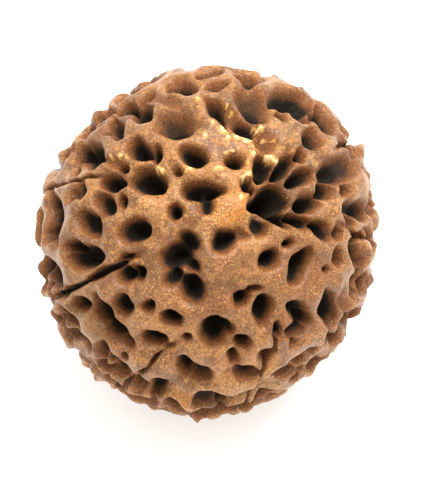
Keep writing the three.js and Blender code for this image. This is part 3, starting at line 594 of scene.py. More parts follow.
# %% [markdown]
# A pit is kept as a middle, two directions on the wall and a skewed oval. A direction from
# the middle of the seed is then changed into the pit's own measure, where the rim is at 1.
# Close to the outline an oval is seen foreshortened, so its two half-axes are found on the
# ball itself, from the points where their ends are seen.

# %% What a pit is
RIM_GROWTH = 1.16         # from a pit's dark inside, as read, to its rim
LONGEST_STRETCH = 1.6     # at most, from an axis as it is seen to its true length


def make_pit(middle, long_axis, wide_axis, depth):
    flat_long = long_axis - middle * (middle @ long_axis)
    flat_wide = wide_axis - middle * (middle @ wide_axis)
    across = unit(flat_long)
    upwards = np.cross(middle, across)
    long = float(np.linalg.norm(flat_long))
    rise = float(flat_wide @ upwards)
    return SimpleNamespace(
        middle=middle, across=across, upwards=upwards, long=long,
        lean=float(flat_wide @ across), rise=rise, wide=min(long, abs(rise)),
        longest=max(long, float(np.linalg.norm(flat_wide))), depth=depth,
    )


def half_axis(x, y, length, angle, longest, radius):
    """Half an oval's axis on a ball, found from where its two ends are seen."""
    dx, dy = length * math.cos(angle), length * math.sin(angle)
    half = (seen_point(x + dx, y + dy, radius) - seen_point(x - dx, y - dy, radius)) / 2
    size = np.linalg.norm(half)
    return half * min(1.0, longest * length / size) * WAIST_RADIUS / radius


def pit_from_sight(x, y, long, wide, turn, depth,
                   growth=RIM_GROWTH, longest=LONGEST_STRETCH, radius=WAIST_RADIUS):
    angle = math.radians(turn)
    long_axis = half_axis(x, y, growth * long, angle, longest, radius)
    wide_axis = half_axis(x, y, growth * wide, angle + math.pi / 2, longest, radius)
    return make_pit(unit(seen_point(x, y, radius)), long_axis, wide_axis, depth)


pits = [pit_from_sight(*row[:5], row[5] * row[3]) for row in PITS]
print("the longest pit is", round(2 * max(pit.longest for pit in pits), 1), "mm long")

# %% [markdown]
# The stem hollow is made of three pits that run into each other. A shallow hollow marks the
# far end, and each notch in the outline is a pit that is seen from the side.

# %% Hollows and notches
STEM_HOLLOW_DEPTH = 4.2
FAR_HOLLOW_DEPTH = 2.2
FAR_HOLLOW_SIZE = (1.2, 1.0)    # its half-axes
NOTCH_LENGTH = 1.9        # half of it, over the outline to the far side
OUTLINE_ANGLE = math.radians(86)    # the outline, as an angle from the line of sight


def far_hollow():
    long, wide = FAR_HOLLOW_SIZE
    side = unit(np.cross(FAR_AXIS, SIGHT_UP))
    return make_pit(FAR_AXIS, side * long, np.cross(FAR_AXIS, side) * wide, FAR_HOLLOW_DEPTH)


def outline_way(angle):
    """Direction of a point on the outline."""
    round_it = SIGHT_RIGHT * math.cos(angle) + SIGHT_UP * math.sin(angle)
    return round_it * math.sin(OUTLINE_ANGLE) + SIGHT_NEAR * math.cos(OUTLINE_ANGLE)


def notch_pit(angle, wide, depth):
    middle = outline_way(math.radians(angle))
    over = unit(SIGHT_NEAR - middle * (middle @ SIGHT_NEAR))
    return make_pit(middle, over * NOTCH_LENGTH, np.cross(middle, over) * wide, depth)


pits += [pit_from_sight(*row, STEM_HOLLOW_DEPTH) for row in STEM_LOBES]
pits.append(far_hollow())
pits += [notch_pit(*row) for row in NOTCHES]
print(len(pits), "pits, hollows and notches so far")

# %% [markdown]
# ## Wild pits
#
# The pits of the hidden side are called wild here. They keep clear of the feet, of the clefts
# and of each other. The feet are three ridge knobs round the rest spot.

# %% The feet
FEET = (20, 140, 260)     # turns about +Z
FEET_RING = 4.0           # how far they are from the vertical through the middle


def foot_way(degrees):
    angle = math.radians(degrees)
    depth = math.sqrt(WAIST_RADIUS**2 - FEET_RING**2)
    return unit(np.array([FEET_RING * math.cos(angle), FEET_RING * math.sin(angle), -depth]))


feet = [foot_way(degrees) for degrees in FEET]
print(len(feet), "feet,", FEET_RING, "mm from the vertical")

# %% [markdown]
# Whether two pits touch is asked along the line between their middles: how wide is each of
# them on the way to the other? The distance from a cleft is the one to the nearest point of
# its path. The steps in the ground need it too, with the side on which a direction lies.

# %% Distances on the wall
PIT_COLUMNS = ("middle", "across", "upwards", "long", "lean", "rise", "longest")


def pit_table(pits):
    """Columns of many pits, to measure one direction against all of them at once."""
    return SimpleNamespace(**{
        name: np.array([getattr(pit, name) for pit in pits]) for name in PIT_COLUMNS})


def spans(shape, height, across, upwards):
    """Half the width of a pit on the way to a direction, and how far off that is."""
    x = WAIST_RADIUS * across / height
    y = WAIST_RADIUS * upwards / height
    share = np.hypot((x - shape.lean * y / shape.rise) / shape.long, y / shape.rise)
    away = WAIST_RADIUS * np.arccos(np.clip(height, -1, 1))
    return away / np.maximum(share, TINY), away


def beside_path(path, ways):
    """How far each direction is from a path, on which side, and how far along it lies."""
    nearest = np.full(len(ways), np.inf)
    side = np.zeros(len(ways))
    progress = np.zeros(len(ways))
    for index in range(len(path) - 1):
        run = path[index + 1] - path[index]
        offset = ways - path[index]
        along = np.clip(offset @ run / (run @ run), 0, 1)
        gap = offset - along[:, None] * run
        distance = WAIST_RADIUS * np.linalg.norm(gap, axis=1)
        closer = distance < nearest
        nearest = np.where(closer, distance, nearest)
        turn = np.sign(np.einsum("ij,ij->i", np.cross(run, gap), ways))
        side = np.where(closer, turn, side)
        progress = np.where(closer, (index + along) / (len(path) - 1), progress)
    return nearest, side, progress


stem_to_cleft = beside_path(clefts[0], STEM_AXIS[None, :])[0][0]
print("the first cleft starts", round(float(stem_to_cleft), 1), "mm from the stem axis")

# %% [markdown]
# A wild pit may stay if its middle is far enough from the feet and from every cleft, and if a
# ridge is left between it and every pit that is there already.

# %% Room for a wild pit
FOOT_CLEAR = 0.5          # wild pits keep this far from the feet and the rest spot
CLEFT_CLEAR = 0.15


def has_room(pit, gap, table):
    here = pit.middle
    for spot in [*feet, unit(rest_spot)]:
        if WAIST_RADIUS * math.acos(min(1.0, here @ spot)) <= pit.longest + FOOT_CLEAR:
            return False
    theirs, away = spans(table, table.middle @ here, table.across @ here, table.upwards @ here)
    there = table.middle
    own = spans(pit, there @ pit.middle, there @ pit.across, there @ pit.upwards)[0]
    close = away <= pit.longest + table.longest + gap
    if np.any(close & (away <= theirs + own + gap)):
        return False
    clear = pit.wide + CLEFT_CLEAR
    return all(beside_path(path, here[None, :])[0][0] > clear for path in clefts)


print("the first pit has room among the others:", has_room(pits[0], 0.0, pit_table(pits[1:])))

# %% [markdown]
# Large ones are tried first, then smaller and smaller ones. At last each is grown as far as
# its neighbours leave room.

# %% Growing the wild pits
WILD_SIZES = [
    SimpleNamespace(long=(1.3, 1.75), wide=(0.8, 1.05), tries=900, edge=0.15),
    SimpleNamespace(long=(0.9, 1.25), wide=(0.55, 0.8), tries=1500, edge=0.3),
    SimpleNamespace(long=(0.55, 0.8), wide=(0.4, 0.52), tries=1800, edge=0.5),
    SimpleNamespace(long=(0.3, 0.42), wide=(0.24, 0.3), tries=700, edge=0.6),
]
WILD_GAP = (0.2, 0.4)     # ridge left between two pits
WILD_GROWTH = (1.45, 1.3, 1.18, 1.08)
WILD_HOLES = 0.6          # share of them that are as deep as a hole
PIT_LENGTHS = ("long", "lean", "rise", "wide", "longest")


def wild_pit(size):
    middle = chance.direction()
    long = chance.between(*size.long)
    wide = chance.between(*size.wide)
    turn = math.pi * chance.draw()
    depth = wide * (HOLE if chance.draw() < WILD_HOLES else CUP)
    long_way = turned(unit(np.cross(middle, STEM_AXIS)), middle, turn)
    return make_pit(middle, long_way * long, np.cross(middle, long_way) * wide, depth)


def enlarge(pit, factor):
    grown = {name: getattr(pit, name) * factor for name in PIT_LENGTHS}
    return SimpleNamespace(**{**vars(pit), **grown, "depth": pit.depth * math.sqrt(factor)})


def grow_wild_pits(pits):
    first_wild = len(pits)
    table = pit_table(pits)
    for size in WILD_SIZES:
        for _ in range(size.tries):
            pit = wild_pit(size)
            gap = chance.between(*WILD_GAP)
            hidden = pit.middle @ SIGHT_NEAR < size.edge
            if hidden and has_room(pit, gap, table):
                pits.append(pit)
                table = pit_table(pits)
    for index in range(first_wild, len(pits)):
        others = pit_table(pits[:index] + pits[index + 1:])
        bigger = [enlarge(pits[index], factor) for factor in WILD_GROWTH]
        fitting = [pit for pit in bigger if has_room(pit, WILD_GAP[0], others)]
        pits[index] = fitting[0] if fitting else pits[index]


grow_wild_pits(pits)
print(len(pits), "pits in all")

# %% [markdown]
# ## One height for every direction
#
# The wall of the seed is a field: for each direction from its middle it says how far out the
# surface lies. Ridge tops follow a slightly squat ball whose waist has the outline that was
# read. Every pit presses a bowl into it, and the rims roll down into the bowl. A field like
# this can be pressed and bent by formulas, which a mesh with finished faces can't.
#
# The ball comes first. The outline was read every 30 degrees, and between two readings its
# radius changes softly. Knobs are mounds on the outline, and the ground round the stem hollow
# is sunk a little.

# %% The ball and its outline
OUTLINE_RADII = (12.0, 12.75, 12.7, 12.5, 12.0, 11.9, 12.0, 12.3, 12.4, 12.65, 11.85, 11.85)
OUTLINE_RISE = (0.6, 0.97)    # over these shares of the way out, the outline takes over


def smoothstep(start, end, value):
    share = np.clip((value - start) / (end - start), 0, 1)
    return share * share * (3 - 2 * share)


def mound(ways, middle, reach, height):
    """A round bump with soft skirts."""
    away = WAIST_RADIUS * np.arccos(np.clip(ways @ middle, -1, 1))
    return height * np.exp(-((away / reach) ** 2))


def oval_top(ways):
    along = ways @ STEM_AXIS
    ball = WAIST_RADIUS / np.sqrt(1 - along**2 + along**2 / AXIAL_SHARE**2)
    x, y = ways @ SIGHT_RIGHT, ways @ SIGHT_UP
    radii = np.array(OUTLINE_RADII)
    place = (np.arctan2(y, x) / (2 * math.pi) % 1) * len(radii)
    start = np.floor(place).astype(int) % len(radii)
    blend = smoothstep(0, 1, place - np.floor(place))
    waist = radii[start] * (1 - blend) + radii[(start + 1) % len(radii)] * blend
    ball += (waist - ball) * smoothstep(*OUTLINE_RISE, np.hypot(x, y))
    for angle, height, reach in KNOBS:
        ball += mound(ways, outline_way(math.radians(angle)), reach, height)
    ball -= mound(ways, unit(seen_point(*BASIN[:2])), *BASIN[2:])
    return ball


print("the ball's radius at the stem end is", round(float(oval_top(STEM_AXIS[None, :])[0]), 2), "mm")

# %% [markdown]
# Underneath, the ridge tops are worn. Three knobs there are just tall enough to be worn flat
# at the height of the rest spot, and the ground between them lies a little deeper. So the
# seed stands on four small flats and doesn't rock.

# %% Feet and ridge tops
RIDGE_LIFT = 0.17         # the widest ridges stand this far above the mean ball
FOOT_REACH = 0.7
FOOT_WEAR = 0.04          # so much of each foot is worn off
WORN_RECESS = 0.3         # the ground between the feet lies this much deeper
WORN_EDGE = (FEET_RING + 0.4, FEET_RING + 2)


def unworn(ways):
    """0 underneath, where the ridge tops are worn, and 1 away from there."""
    away = WAIST_RADIUS * np.arccos(np.clip(-ways[:, 2], -1, 1))
    return smoothstep(*WORN_EDGE, away)


def worn_ground(ways):
    away = WAIST_RADIUS * np.arccos(np.clip(ways @ unit(rest_spot), -1, 1))
    return -WORN_RECESS * smoothstep(REST_SPOT_RADIUS, 2 * REST_SPOT_RADIUS, away)


def foot_height(way):
    """Just tall enough to be worn flat at the height of the rest spot."""
    ground = (oval_top(way[None, :]) + worn_ground(way[None, :]))[0]
    return rest_spot[2] / way[2] - ground + FOOT_WEAR


foot_heights = [foot_height(way) for way in feet]


def ridge_top(ways):
    top = oval_top(ways)
    for way, height in zip(feet, foot_heights):
        top += mound(ways, way, FOOT_REACH, height)
    fresh = unworn(ways)
    wavy = SWELL_HEIGHT * wave_sum(swells, ways) + RIPPLE_HEIGHT * wave_sum(ripples, ways)
    return top + fresh * (RIDGE_LIFT + wavy) + (1 - fresh) * worn_ground(ways)


print("the feet are", [round(float(height), 2) for height in foot_heights], "mm tall")

# %% [markdown]
# On the right of a step's path the ground is lower, most of all close by. The step fades out
# with distance and towards both ends of its path.

# %% Steps in the ground
STEP_ENDS = 0.25          # share of the path over which a step starts and stops
STEP_EDGE = 0.35          # a step is fully down this far from its path
STEP_FADE = 0.45          # share of its reach from where it fades


def step_down(path, drop, reach, ways):
    """How far the ground steps down on the right of a path."""
    distance, side, progress = beside_path(path, ways)
    ends = smoothstep(0, STEP_ENDS, progress) * smoothstep(0, STEP_ENDS, 1 - progress)
    fade = 1 - smoothstep(STEP_FADE * reach, reach, distance)
    return np.where(side > 0, 0, drop * smoothstep(0, STEP_EDGE, distance) * fade * ends)


def steps_down(ways):
    return sum(step_down(path, drop, reach, ways) for path, drop, reach in steps)


print(len(steps), "steps in the ground")

# %% [markdown]
# ## Uneven outlines
#
# No pit is a true oval. Before the pits are measured, every direction is led a little astray
# by more waves, and so each rim comes out uneven. Moving the directions costs no faces, and
# it bends pits, rims and clefts together.

# %% Strays
STRAYS = ((0.06, 1.8), (0.02, 0.7))    # how far outlines stray, and the length of the waves
STRAY_COUNT = 10
NARROW_COUNT = 8          # waves that widen and narrow the clefts
NARROW_LENGTH = 1.3
narrows = make_waves(NARROW_COUNT, NARROW_LENGTH, finer)
strays = [[make_waves(STRAY_COUNT, length, finer) for _ in range(3)] for _, length in STRAYS]


def strayed(ways):
    """The directions, each led a little astray."""
    moved = ways.copy()
    for (amount, _), three in zip(STRAYS, strays):
        shift = np.stack([wave_sum(waves, ways) for waves in three], axis=1)
        moved += shift * amount / WAIST_RADIUS
    return moved / np.linalg.norm(moved, axis=1)[:, None]


print("outlines stray by", [amount for amount, _ in STRAYS], "mm")

# %% [markdown]
# ## The pits of the fine seed
#
# A pit is placed on the true height of the ridges there, not on the mean ball, and its middle
# is led astray as the directions are. Both make it land where it was read. A dark floor lies
# deep and is seen nearer to the middle than the pit's mouth, so the mouth moves outward.

# %% One fine pit
MEAN_ROLL = 0.15          # a pit's rim lies about this far below the ridge tops
SIGHT_ROUNDS = 3          # the place settles within so many rounds
OUTWARD = 0.7             # how strongly a mouth moves, where the wall slopes away
FINE_GROWTH = 1.02        # as RIM_GROWTH and LONGEST_STRETCH, for the fine seed
FINE_STRETCH = 1.95
FINE_DEPTH = {            # depth of each kind, and what each mm of half-width adds to it
    HOLE: (0.8, 1.8), CUP: (0.5, 1.3), DISH: (0.1, 0.8), SLOT: (1.0, 1.5), HOLLOW: (3.2, 1.0),
}


def true_radius(x, y):
    """How far from the middle the rims are that a line of sight through (x, y) meets."""
    radius = WAIST_RADIUS
    for _ in range(SIGHT_ROUNDS):
        way = unit(seen_point(x, y, radius))[None, :]
        radius = float((ridge_top(way) - steps_down(way))[0]) - MEAN_ROLL
    return radius


def mouth_of(x, y):
    size = max(math.hypot(x, y), TINY)
    tilt = min(1.0, size / WAIST_RADIUS)
    outward = 1 + OUTWARD * tilt * (1 - tilt**2) / size
    return x * outward, y * outward


def fine_pit(x, y, long, wide, turn, kind):
    least, more = FINE_DEPTH[kind]
    depth = least + more * wide
    x, y = mouth_of(x, y)
    radius = true_radius(x, y)
    pit = pit_from_sight(x, y, long, wide, turn, depth, FINE_GROWTH, FINE_STRETCH, radius)
    pit.middle = strayed(pit.middle[None, :])[0]
    return pit


print("a pit read at (8, 4) has its mouth at", [round(part, 2) for part in mouth_of(8, 4)])

# %% [markdown]
# Now all of them: the pits, read again where that was needed, the lobes of the stem hollow,
# the hidden pits and the fine marks. The hidden ones are made deeper than on the coarse seed.
# Beside the outline, where deep pits would fray the edge, they and the notches are made a
# little shallower. The lesser holes in the pits' floors are kept apart, because they go on
# top of the bowls.

# %% All fine pits
WILD_DEEPER = 1.3
OUTLINE_DEEPER = 0.95
OUTLINE_BAND = 0.3        # so far from square to the line of sight is beside the outline
FLOOR_HOLE_DEPTH = 0.7


def floor_hole(x, y, *oval):
    radius = true_radius(x, y)
    pit = pit_from_sight(x, y, *oval, FLOOR_HOLE_DEPTH, 1.0, FINE_STRETCH, radius)
    pit.middle = strayed(pit.middle[None, :])[0]
    return pit


def fine_pits():
    read = [fine_pit(*REREAD.get(row[:2], row)) for row in PITS]
    lobes = [fine_pit(*row, HOLLOW) for row in FINE_LOBES]
    rest = pits[len(PITS) + len(STEM_LOBES):]
    for pit in rest:
        beside = abs(pit.middle @ SIGHT_NEAR) < OUTLINE_BAND
        pit.depth *= OUTLINE_DEEPER if beside else WILD_DEEPER
    return read + lobes + rest + [fine_pit(*row) for row in FINE_MARKS]


all_pits = fine_pits()
floor_holes = [floor_hole(*row) for row in FLOOR_HOLES]
fine_clefts = [strayed(path[start:]) for path, start in zip(clefts, CLEFTS_OPEN_AT)]
print(len(all_pits), "pits and", len(floor_holes), "floor holes on the fine seed")

# %% [markdown]
# ## Bowls and clefts
#
# A pit has a soft lip, a steep wall and a round floor. All of it comes from the distance to
# the rim: a soft bend makes the lip, and a power curve the wall and the floor. A cleft has the
# same curve over the distance to its path. It starts faint, and its width wavers.

# %% How deep a pit or a cleft is
LIP_SOFTNESS = 0.1        # radius of the edge where a wall starts
BOWL_SHAPE = 3.0          # 1 is a cone, more is a steeper wall with a rounder floor
BOWL_FLOOR = 0.92         # share of the half-width where the floor is reached
CLEFT_DEPTH = 0.8
CLEFT_HALF_WIDTH = 0.19
CLEFT_UNEVEN = 0.2        # how much its width wavers, as a share
CLEFT_NARROWEST = 0.05
CLEFT_SHAPE = 2.5         # as BOWL_SHAPE
CLEFT_START = (-0.03, 0.12)    # shares of the path over which a cleft opens


def outside_pit(pit, ways):
    """Distance outside the pit's rim for each direction; it is below 0 within."""
    height = ways @ pit.middle
    x = WAIST_RADIUS * (ways @ pit.across) / height
    y = WAIST_RADIUS * (ways @ pit.upwards) / height
    t = y / pit.rise
    s = (x - pit.lean * t) / pit.long
    share = np.maximum(np.hypot(s, t), TINY)
    beyond = np.hypot(x, y) * (1 - 1 / share)
    return np.where(share > 1, beyond, (share - 1) * pit.wide)


def bowl(pit, outside):
    inward = LIP_SOFTNESS * np.logaddexp(0, -outside / LIP_SOFTNESS)
    share = np.clip(inward / (BOWL_FLOOR * pit.wide), 0, 1)
    return pit.depth * (1 - (1 - share) ** BOWL_SHAPE)


def cleft_gap(path, ways):
    """Depth of a cleft, which starts faint and is uneven in width, and its distance."""
    distance, _, progress = beside_path(path, ways)
    half = CLEFT_HALF_WIDTH * (1 + CLEFT_UNEVEN * wave_sum(narrows, ways))
    share = np.clip(1 - distance / np.maximum(half, CLEFT_NARROWEST), 0, 1)
    fresh = smoothstep(*CLEFT_START, progress)
    return CLEFT_DEPTH * fresh * (1 - (1 - share) ** CLEFT_SHAPE), distance


first = all_pits[0]
first_depth = bowl(first, outside_pit(first, first.middle[None, :]))[0]
print("the first pit is", round(float(first_depth), 2), "mm deep in its middle")

# %% [markdown]
# Most points are far from most pits, and measuring them all against each other would take
# long. So each pit, cleft and step is first given the directions that it can reach, and only
# those are measured.

# %% What reaches where
RIM_REACH = 1.6
CLEFT_REACH = 1.7
STEP_MARGIN = 0.3


def near_pit(pit, ways):
    return np.flatnonzero(ways @ pit.middle > math.cos((pit.longest + RIM_REACH) / WAIST_RADIUS))


def near_path(path, ways, reach):
    near = np.zeros(len(ways), dtype=bool)
    for start, stop in zip(path, path[1:]):
        span = WAIST_RADIUS * np.linalg.norm(stop - start) / 2 + reach
        near |= ways @ unit(start + stop) > math.cos(span / WAIST_RADIUS)
    return np.flatnonzero(near)


def neighbours(ways):
    """Which of the directions each pit, each cleft and each step can reach."""
    return SimpleNamespace(
        pits=[near_pit(pit, ways) for pit in all_pits],
        clefts=[near_path(path, ways, CLEFT_REACH) for path in fine_clefts],
        floor_holes=[near_pit(pit, ways) for pit in floor_holes],
        steps=[near_path(path, ways, reach + STEP_MARGIN) for path, _, reach in steps],
    )


crowd = sum(len(reached) for reached in neighbours(first.middle[None, :]).pits)
print(crowd, "pits reach the middle of the first one, itself among them")

# %% [markdown]
# ## The surface
#
# The bowls are joined by a soft maximum, so two pits that meet make one pit with a low
# saddle. Each rim rolls down into its pit, and the rolls of two neighbours partly add up,
# which makes a thin ridge round and a little lower than a broad one.

# %% Relief and surface
CROWN = 0.34              # how far a ridge rolls down to a pit's rim
CROWN_REACH = 0.3
FULL_ROLL = 0.35          # the rims of pits with less half-width than this roll less
SOFT_MAX = 6
ROLL_SUM = 2.5            # 1 would add the rolls of two pits up, more takes the larger


def relief(ways, near):
    """Depth of the bowls and clefts, and of the rims' roll, below the ridge tops."""
    ways = strayed(ways)
    sunk = np.zeros(len(ways))
    roll = np.zeros(len(ways))
    for pit, reached in zip(all_pits, near.pits):
        outside = outside_pit(pit, ways[reached])
        sunk[reached] += bowl(pit, outside) ** SOFT_MAX
        slope = np.exp(-np.maximum(outside, 0) / CROWN_REACH) * min(1, pit.wide / FULL_ROLL)
        roll[reached] += slope ** ROLL_SUM
    for path, reached in zip(fine_clefts, near.clefts):
        gap, distance = cleft_gap(path, ways[reached])
        sunk[reached] += gap ** SOFT_MAX
        roll[reached] += np.exp(-distance / CROWN_REACH) ** ROLL_SUM
    sunk = sunk ** (1 / SOFT_MAX)
    for pit, reached in zip(floor_holes, near.floor_holes):
        sunk[reached] += bowl(pit, outside_pit(pit, ways[reached]))
    return sunk, roll ** (1 / ROLL_SUM)


def ground_radius(ways, near, roll):
    """The surface as it would be without the bowls."""
    radius = ridge_top(ways) - CROWN * roll * unworn(ways)
    for (path, drop, reach), reached in zip(steps, near.steps):
        radius[reached] -= step_down(path, drop, reach, ways[reached])
    return radius


def surface_radius(ways, near):
    sunk, roll = relief(ways, near)
    return ground_radius(ways, near, roll) - sunk


towards_eye = SIGHT_NEAR[None, :]
eye_radius = float(surface_radius(towards_eye, neighbours(towards_eye))[0])
print("the surface that faces the eye lies", round(eye_radius, 2), "mm from the middle")

# %% [markdown]
# ## Growing the fine mesh
#
# An icosphere is the start, because its points are spread evenly. Every point is moved out
# along its own direction to the surface. That stretches the faces on the steep walls, so a
# voxel remesh evens them out again.

# %% A ball with its points on the surface
BALL_LEVELS = 8
VOXEL = 0.1    # mm


def coordinates(mesh):
    values = np.empty(len(mesh.vertices) * 3)
    mesh.vertices.foreach_get("co", values)
    return values.reshape(-1, 3)


def set_coordinates(mesh, points):
    mesh.vertices.foreach_set("co", points.ravel())
    mesh.update()


def ball_on_surface():
    ball = bmesh.new()
    bmesh.ops.create_icosphere(ball, subdivisions=BALL_LEVELS, radius=1.0)
    mesh = bpy.data.meshes.new("seed_fine")
    ball.to_mesh(mesh)
    ball.free()
    ways = coordinates(mesh)
    ways /= np.linalg.norm(ways, axis=1)[:, None]
    set_coordinates(mesh, ways * surface_radius(ways, neighbours(ways))[:, None])
    return mesh


def with_modifier(mesh, kind, **settings):
    """The mesh with one modifier applied."""
    carrier = bpy.data.objects.new("carrier", mesh)
    bpy.context.scene.collection.objects.link(carrier)
    modifier = carrier.modifiers.new("step", kind)
    for name, value in settings.items():
        setattr(modifier, name, value)
    done = carrier.evaluated_get(bpy.context.evaluated_depsgraph_get())
    result = bpy.data.meshes.new_from_object(done)
    bpy.data.objects.remove(carrier)
    bpy.data.meshes.remove(mesh)
    return result


mesh = ball_on_surface()
print("ball of", len(mesh.polygons), "faces")
mesh = with_modifier(mesh, "REMESH", mode="VOXEL", voxel_size=VOXEL)
print("remeshed to", len(mesh.polygons), "faces")

# %% [markdown]
# Remeshing also blurs. So each point is pulled back to the true surface by a Newton step,
# straight across the wall: the field is probed a little to the east and to the north, and
# that gives the wall's slope.

# %% A Newton step back to the true surface
PROBE = 0.02
NEAR_POLE = 0.9           # past this height, east is taken from another pole


def pulled_to_surface(points):
    size = np.linalg.norm(points, axis=1)
    ways = points / size[:, None]
    near = neighbours(ways)
    pole = np.where(np.abs(ways[:, 2:]) < NEAR_POLE, [[0.0, 0.0, 1.0]], [[1.0, 0.0, 0.0]])
    east = np.cross(pole, ways)
    east /= np.linalg.norm(east, axis=1)[:, None]
    north = np.cross(ways, east)
    step = PROBE / WAIST_RADIUS
    here = surface_radius(ways, near)
    slopes = []
    for heading in (east, north):
        moved = ways + heading * step
        moved /= np.linalg.norm(moved, axis=1)[:, None]
        slopes.append((surface_radius(moved, near) - here) / (size * step))
    gradient = ways - east * slopes[0][:, None] - north * slopes[1][:, None]
    strength = (size - here) / np.einsum("ij,ij->i", gradient, gradient)
    return points - gradient * strength[:, None]


blurred = coordinates(mesh)
sharp = pulled_to_surface(blurred)
set_coordinates(mesh, sharp)
pulled = np.linalg.norm(sharp - blurred, axis=1).mean()
print("points were pulled by", round(float(pulled), 3), "mm on average")

# %% [markdown]
# Edges that were handled are worn round, which a few rounds of smoothing do. Decimate then
# takes faces away where the wall is smooth and keeps them where it bends. Remeshing leaves
# loose scraps in the narrowest gaps, so only what hangs together with the outermost point is
# kept. Last, the lowest ridge tops are worn flat where the seed rests.

# %% Smooth, thin out and clean
SOFTENING = 4             # rounds of smoothing
FACES_KEPT = 190000


def without_scraps(mesh):
    stone = bmesh.new()
    stone.from_mesh(mesh)
    outermost = max(stone.verts, key=lambda vert: vert.co.length)
    reached = {outermost}
    waiting = [outermost]
    while waiting:
        vert = waiting.pop()
        for edge in vert.link_edges:
            other = edge.other_vert(vert)
            if other not in reached:
                reached.add(other)
                waiting.append(other)
    scraps = [vert for vert in stone.verts if vert not in reached]
    bmesh.ops.delete(stone, geom=scraps, context="VERTS")
    stone.to_mesh(mesh)
    stone.free()
    print("took away", len(scraps), "points of loose scraps")
    return mesh


def worn_flat(points):
    points[:, 2] = np.maximum(points[:, 2], rest_spot[2])
    return points


mesh = with_modifier(mesh, "SMOOTH", factor=0.5, iterations=SOFTENING)
mesh = with_modifier(mesh, "TRIANGULATE")
mesh = with_modifier(mesh, "DECIMATE", ratio=min(1.0, FACES_KEPT / len(mesh.polygons)))
mesh = without_scraps(mesh)
set_coordinates(mesh, worn_flat(coordinates(mesh)))
print("kept", len(mesh.polygons), "faces")

# %% [markdown]
# ## What the finish needs to know
#
# Painted shade and stain follow the shape: dark down in the pits, with a painted highlight on the
# rims. The finish can't find that out by itself, so each point carries a few numbers. Some come
# from the shape, and some from soft round patches that are placed one by one: crumbs of pale
# pulp, warmer or cooler wood, and stain, with painted shadow under the lip of the terrace. A
# patch is its place, its reach and its strength.

# %% Patches of pulp, warmth, stain and painted shadow
PULP = [                  # x, y, reach
    (1.75, 9.45, 0.2), (1.45, 9.8, 0.14), (2.54, 9.1, 0.12), (3.25, 8.5, 0.2), (3.8, 8.15, 0.2),
    (4.26, 7.5, 0.16), (4.75, 7.4, 0.18), (-0.67, 9.93, 0.3), (0.42, 8.52, 0.22),
    (1.2, 7.8, 0.26), (-0.13, 7.5, 0.18), (-2.55, 10.08, 0.15), (2.15, 7.35, 0.24),
    (2.8, 7.1, 0.27), (3.3, 6.75, 0.28), (3.35, 6.3, 0.22), (1.44, 7.42, 0.22),
    (1.85, 6.65, 0.24), (1.3, 6.35, 0.16), (0.8, 5.3, 0.24), (4.75, 5.95, 0.36),
    (4.3, 6.1, 0.2), (5.25, 5.75, 0.22), (2.95, 5.62, 0.24), (2.95, 4.95, 0.26),
    (2.5, 4.75, 0.22), (-3.6, 5.15, 0.22), (-3.25, 5.05, 0.2), (-1.7, 5.2, 0.26),
    (-1.1, 5.25, 0.22), (-6.9, 6.2, 0.17), (-6.3, 6.15, 0.16), (-5.8, 6.0, 0.15),
    (3.1, -6.1, 0.11), (2.4, 3.2, 0.2),
]
WARM = [                  # x, y, reach, strength; below 0 is cooler
    (2.3, 1.6, 1.9, 0.8), (0.6, 2.2, 1.6, 0.5), (2.6, 3.2, 1.2, 0.5), (3.4, 5.9, 2.2, 0.5),
    (-2.6, 5.0, 2.4, 0.4), (-4.5, 2.2, 1.8, 0.4), (-2.5, -6.5, 2.5, 0.35), (3.5, -9.5, 2.5, 0.5),
    (0.0, -11.0, 3.0, 0.4), (-2.0, -11.6, 1.5, 0.7), (-4.6, -10.6, 1.2, 0.5),
    (0.5, -4.0, 3.0, -0.35), (-6.5, -5.0, 2.2, -0.3), (5.5, -3.0, 2.5, -0.2),
    (-8.5, -6.0, 3.5, -0.4), (-10.5, 0.5, 2.5, -0.35), (8.5, 8.5, 3.0, -0.15),
    (9.5, -2.0, 3.0, -0.25), (-6.5, 9.0, 3.0, -0.2), (3.0, 5.5, 1.4, 0.4), (-0.8, -4.1, 1.2, 0.3),
]
# Above 0 darker, below 0 lighter. Most rows are stain; the rows above 0 that lie between y = -10.4
# and -11.8 are painted shadow under the lip of the terrace.
STAIN_AND_SHADE_PATCHES = [               # the same; below 0 is cleaner
    (5.3, 4.4, 1.2, 0.35), (6.0, 3.2, 1.0, 0.3), (5.2, 2.6, 0.9, 0.4), (4.0, 5.2, 0.7, 0.3),
    (-10.8, 1.6, 1.5, 0.25), (-9.0, 3.7, 0.5, 0.3), (-9.5, -7.0, 2.5, 0.1), (2.0, 8.5, 1.0, 0.15),
    (6.3, -5.5, 1.0, 0.15), (-3.5, -10.4, 0.4, 0.4), (-2.1, -10.7, 0.4, 0.5),
    (-0.9, -11.0, 0.3, 0.4), (0.4, -10.9, 0.4, 0.4), (1.6, -11.0, 0.5, 0.5),
    (2.7, -10.9, 0.4, 0.4), (-0.8, -4.8, 2.4, 0.1), (5.8, -2.0, 2.8, 0.1), (8.5, -5.5, 2.6, 0.08),
    (2.2, 1.8, 1.8, 0.07), (8.2, 4.6, 1.6, -0.16), (-4.1, -1.6, 1.3, -0.08),
    (-8.5, -6.2, 2.4, -0.06), (-0.8, -10.2, 1.5, -0.06), (-4.7, 2.1, 1.4, -0.12),
    (7.4, -2.3, 1.4, 0.16), (0.7, -4.8, 0.9, 0.2), (1.9, -1.6, 1.6, 0.06), (-1.1, -4.3, 1.6, 0.06),
    (4.0, -7.5, 2.0, 0.05), (8.0, 7.2, 2.0, -0.1), (3.2, 9.5, 0.8, 0.3), (-0.4, -11.8, 0.4, 0.4),
    (1.0, -11.7, 0.35, 0.6), (5.5, -9.4, 0.6, 0.25),
]


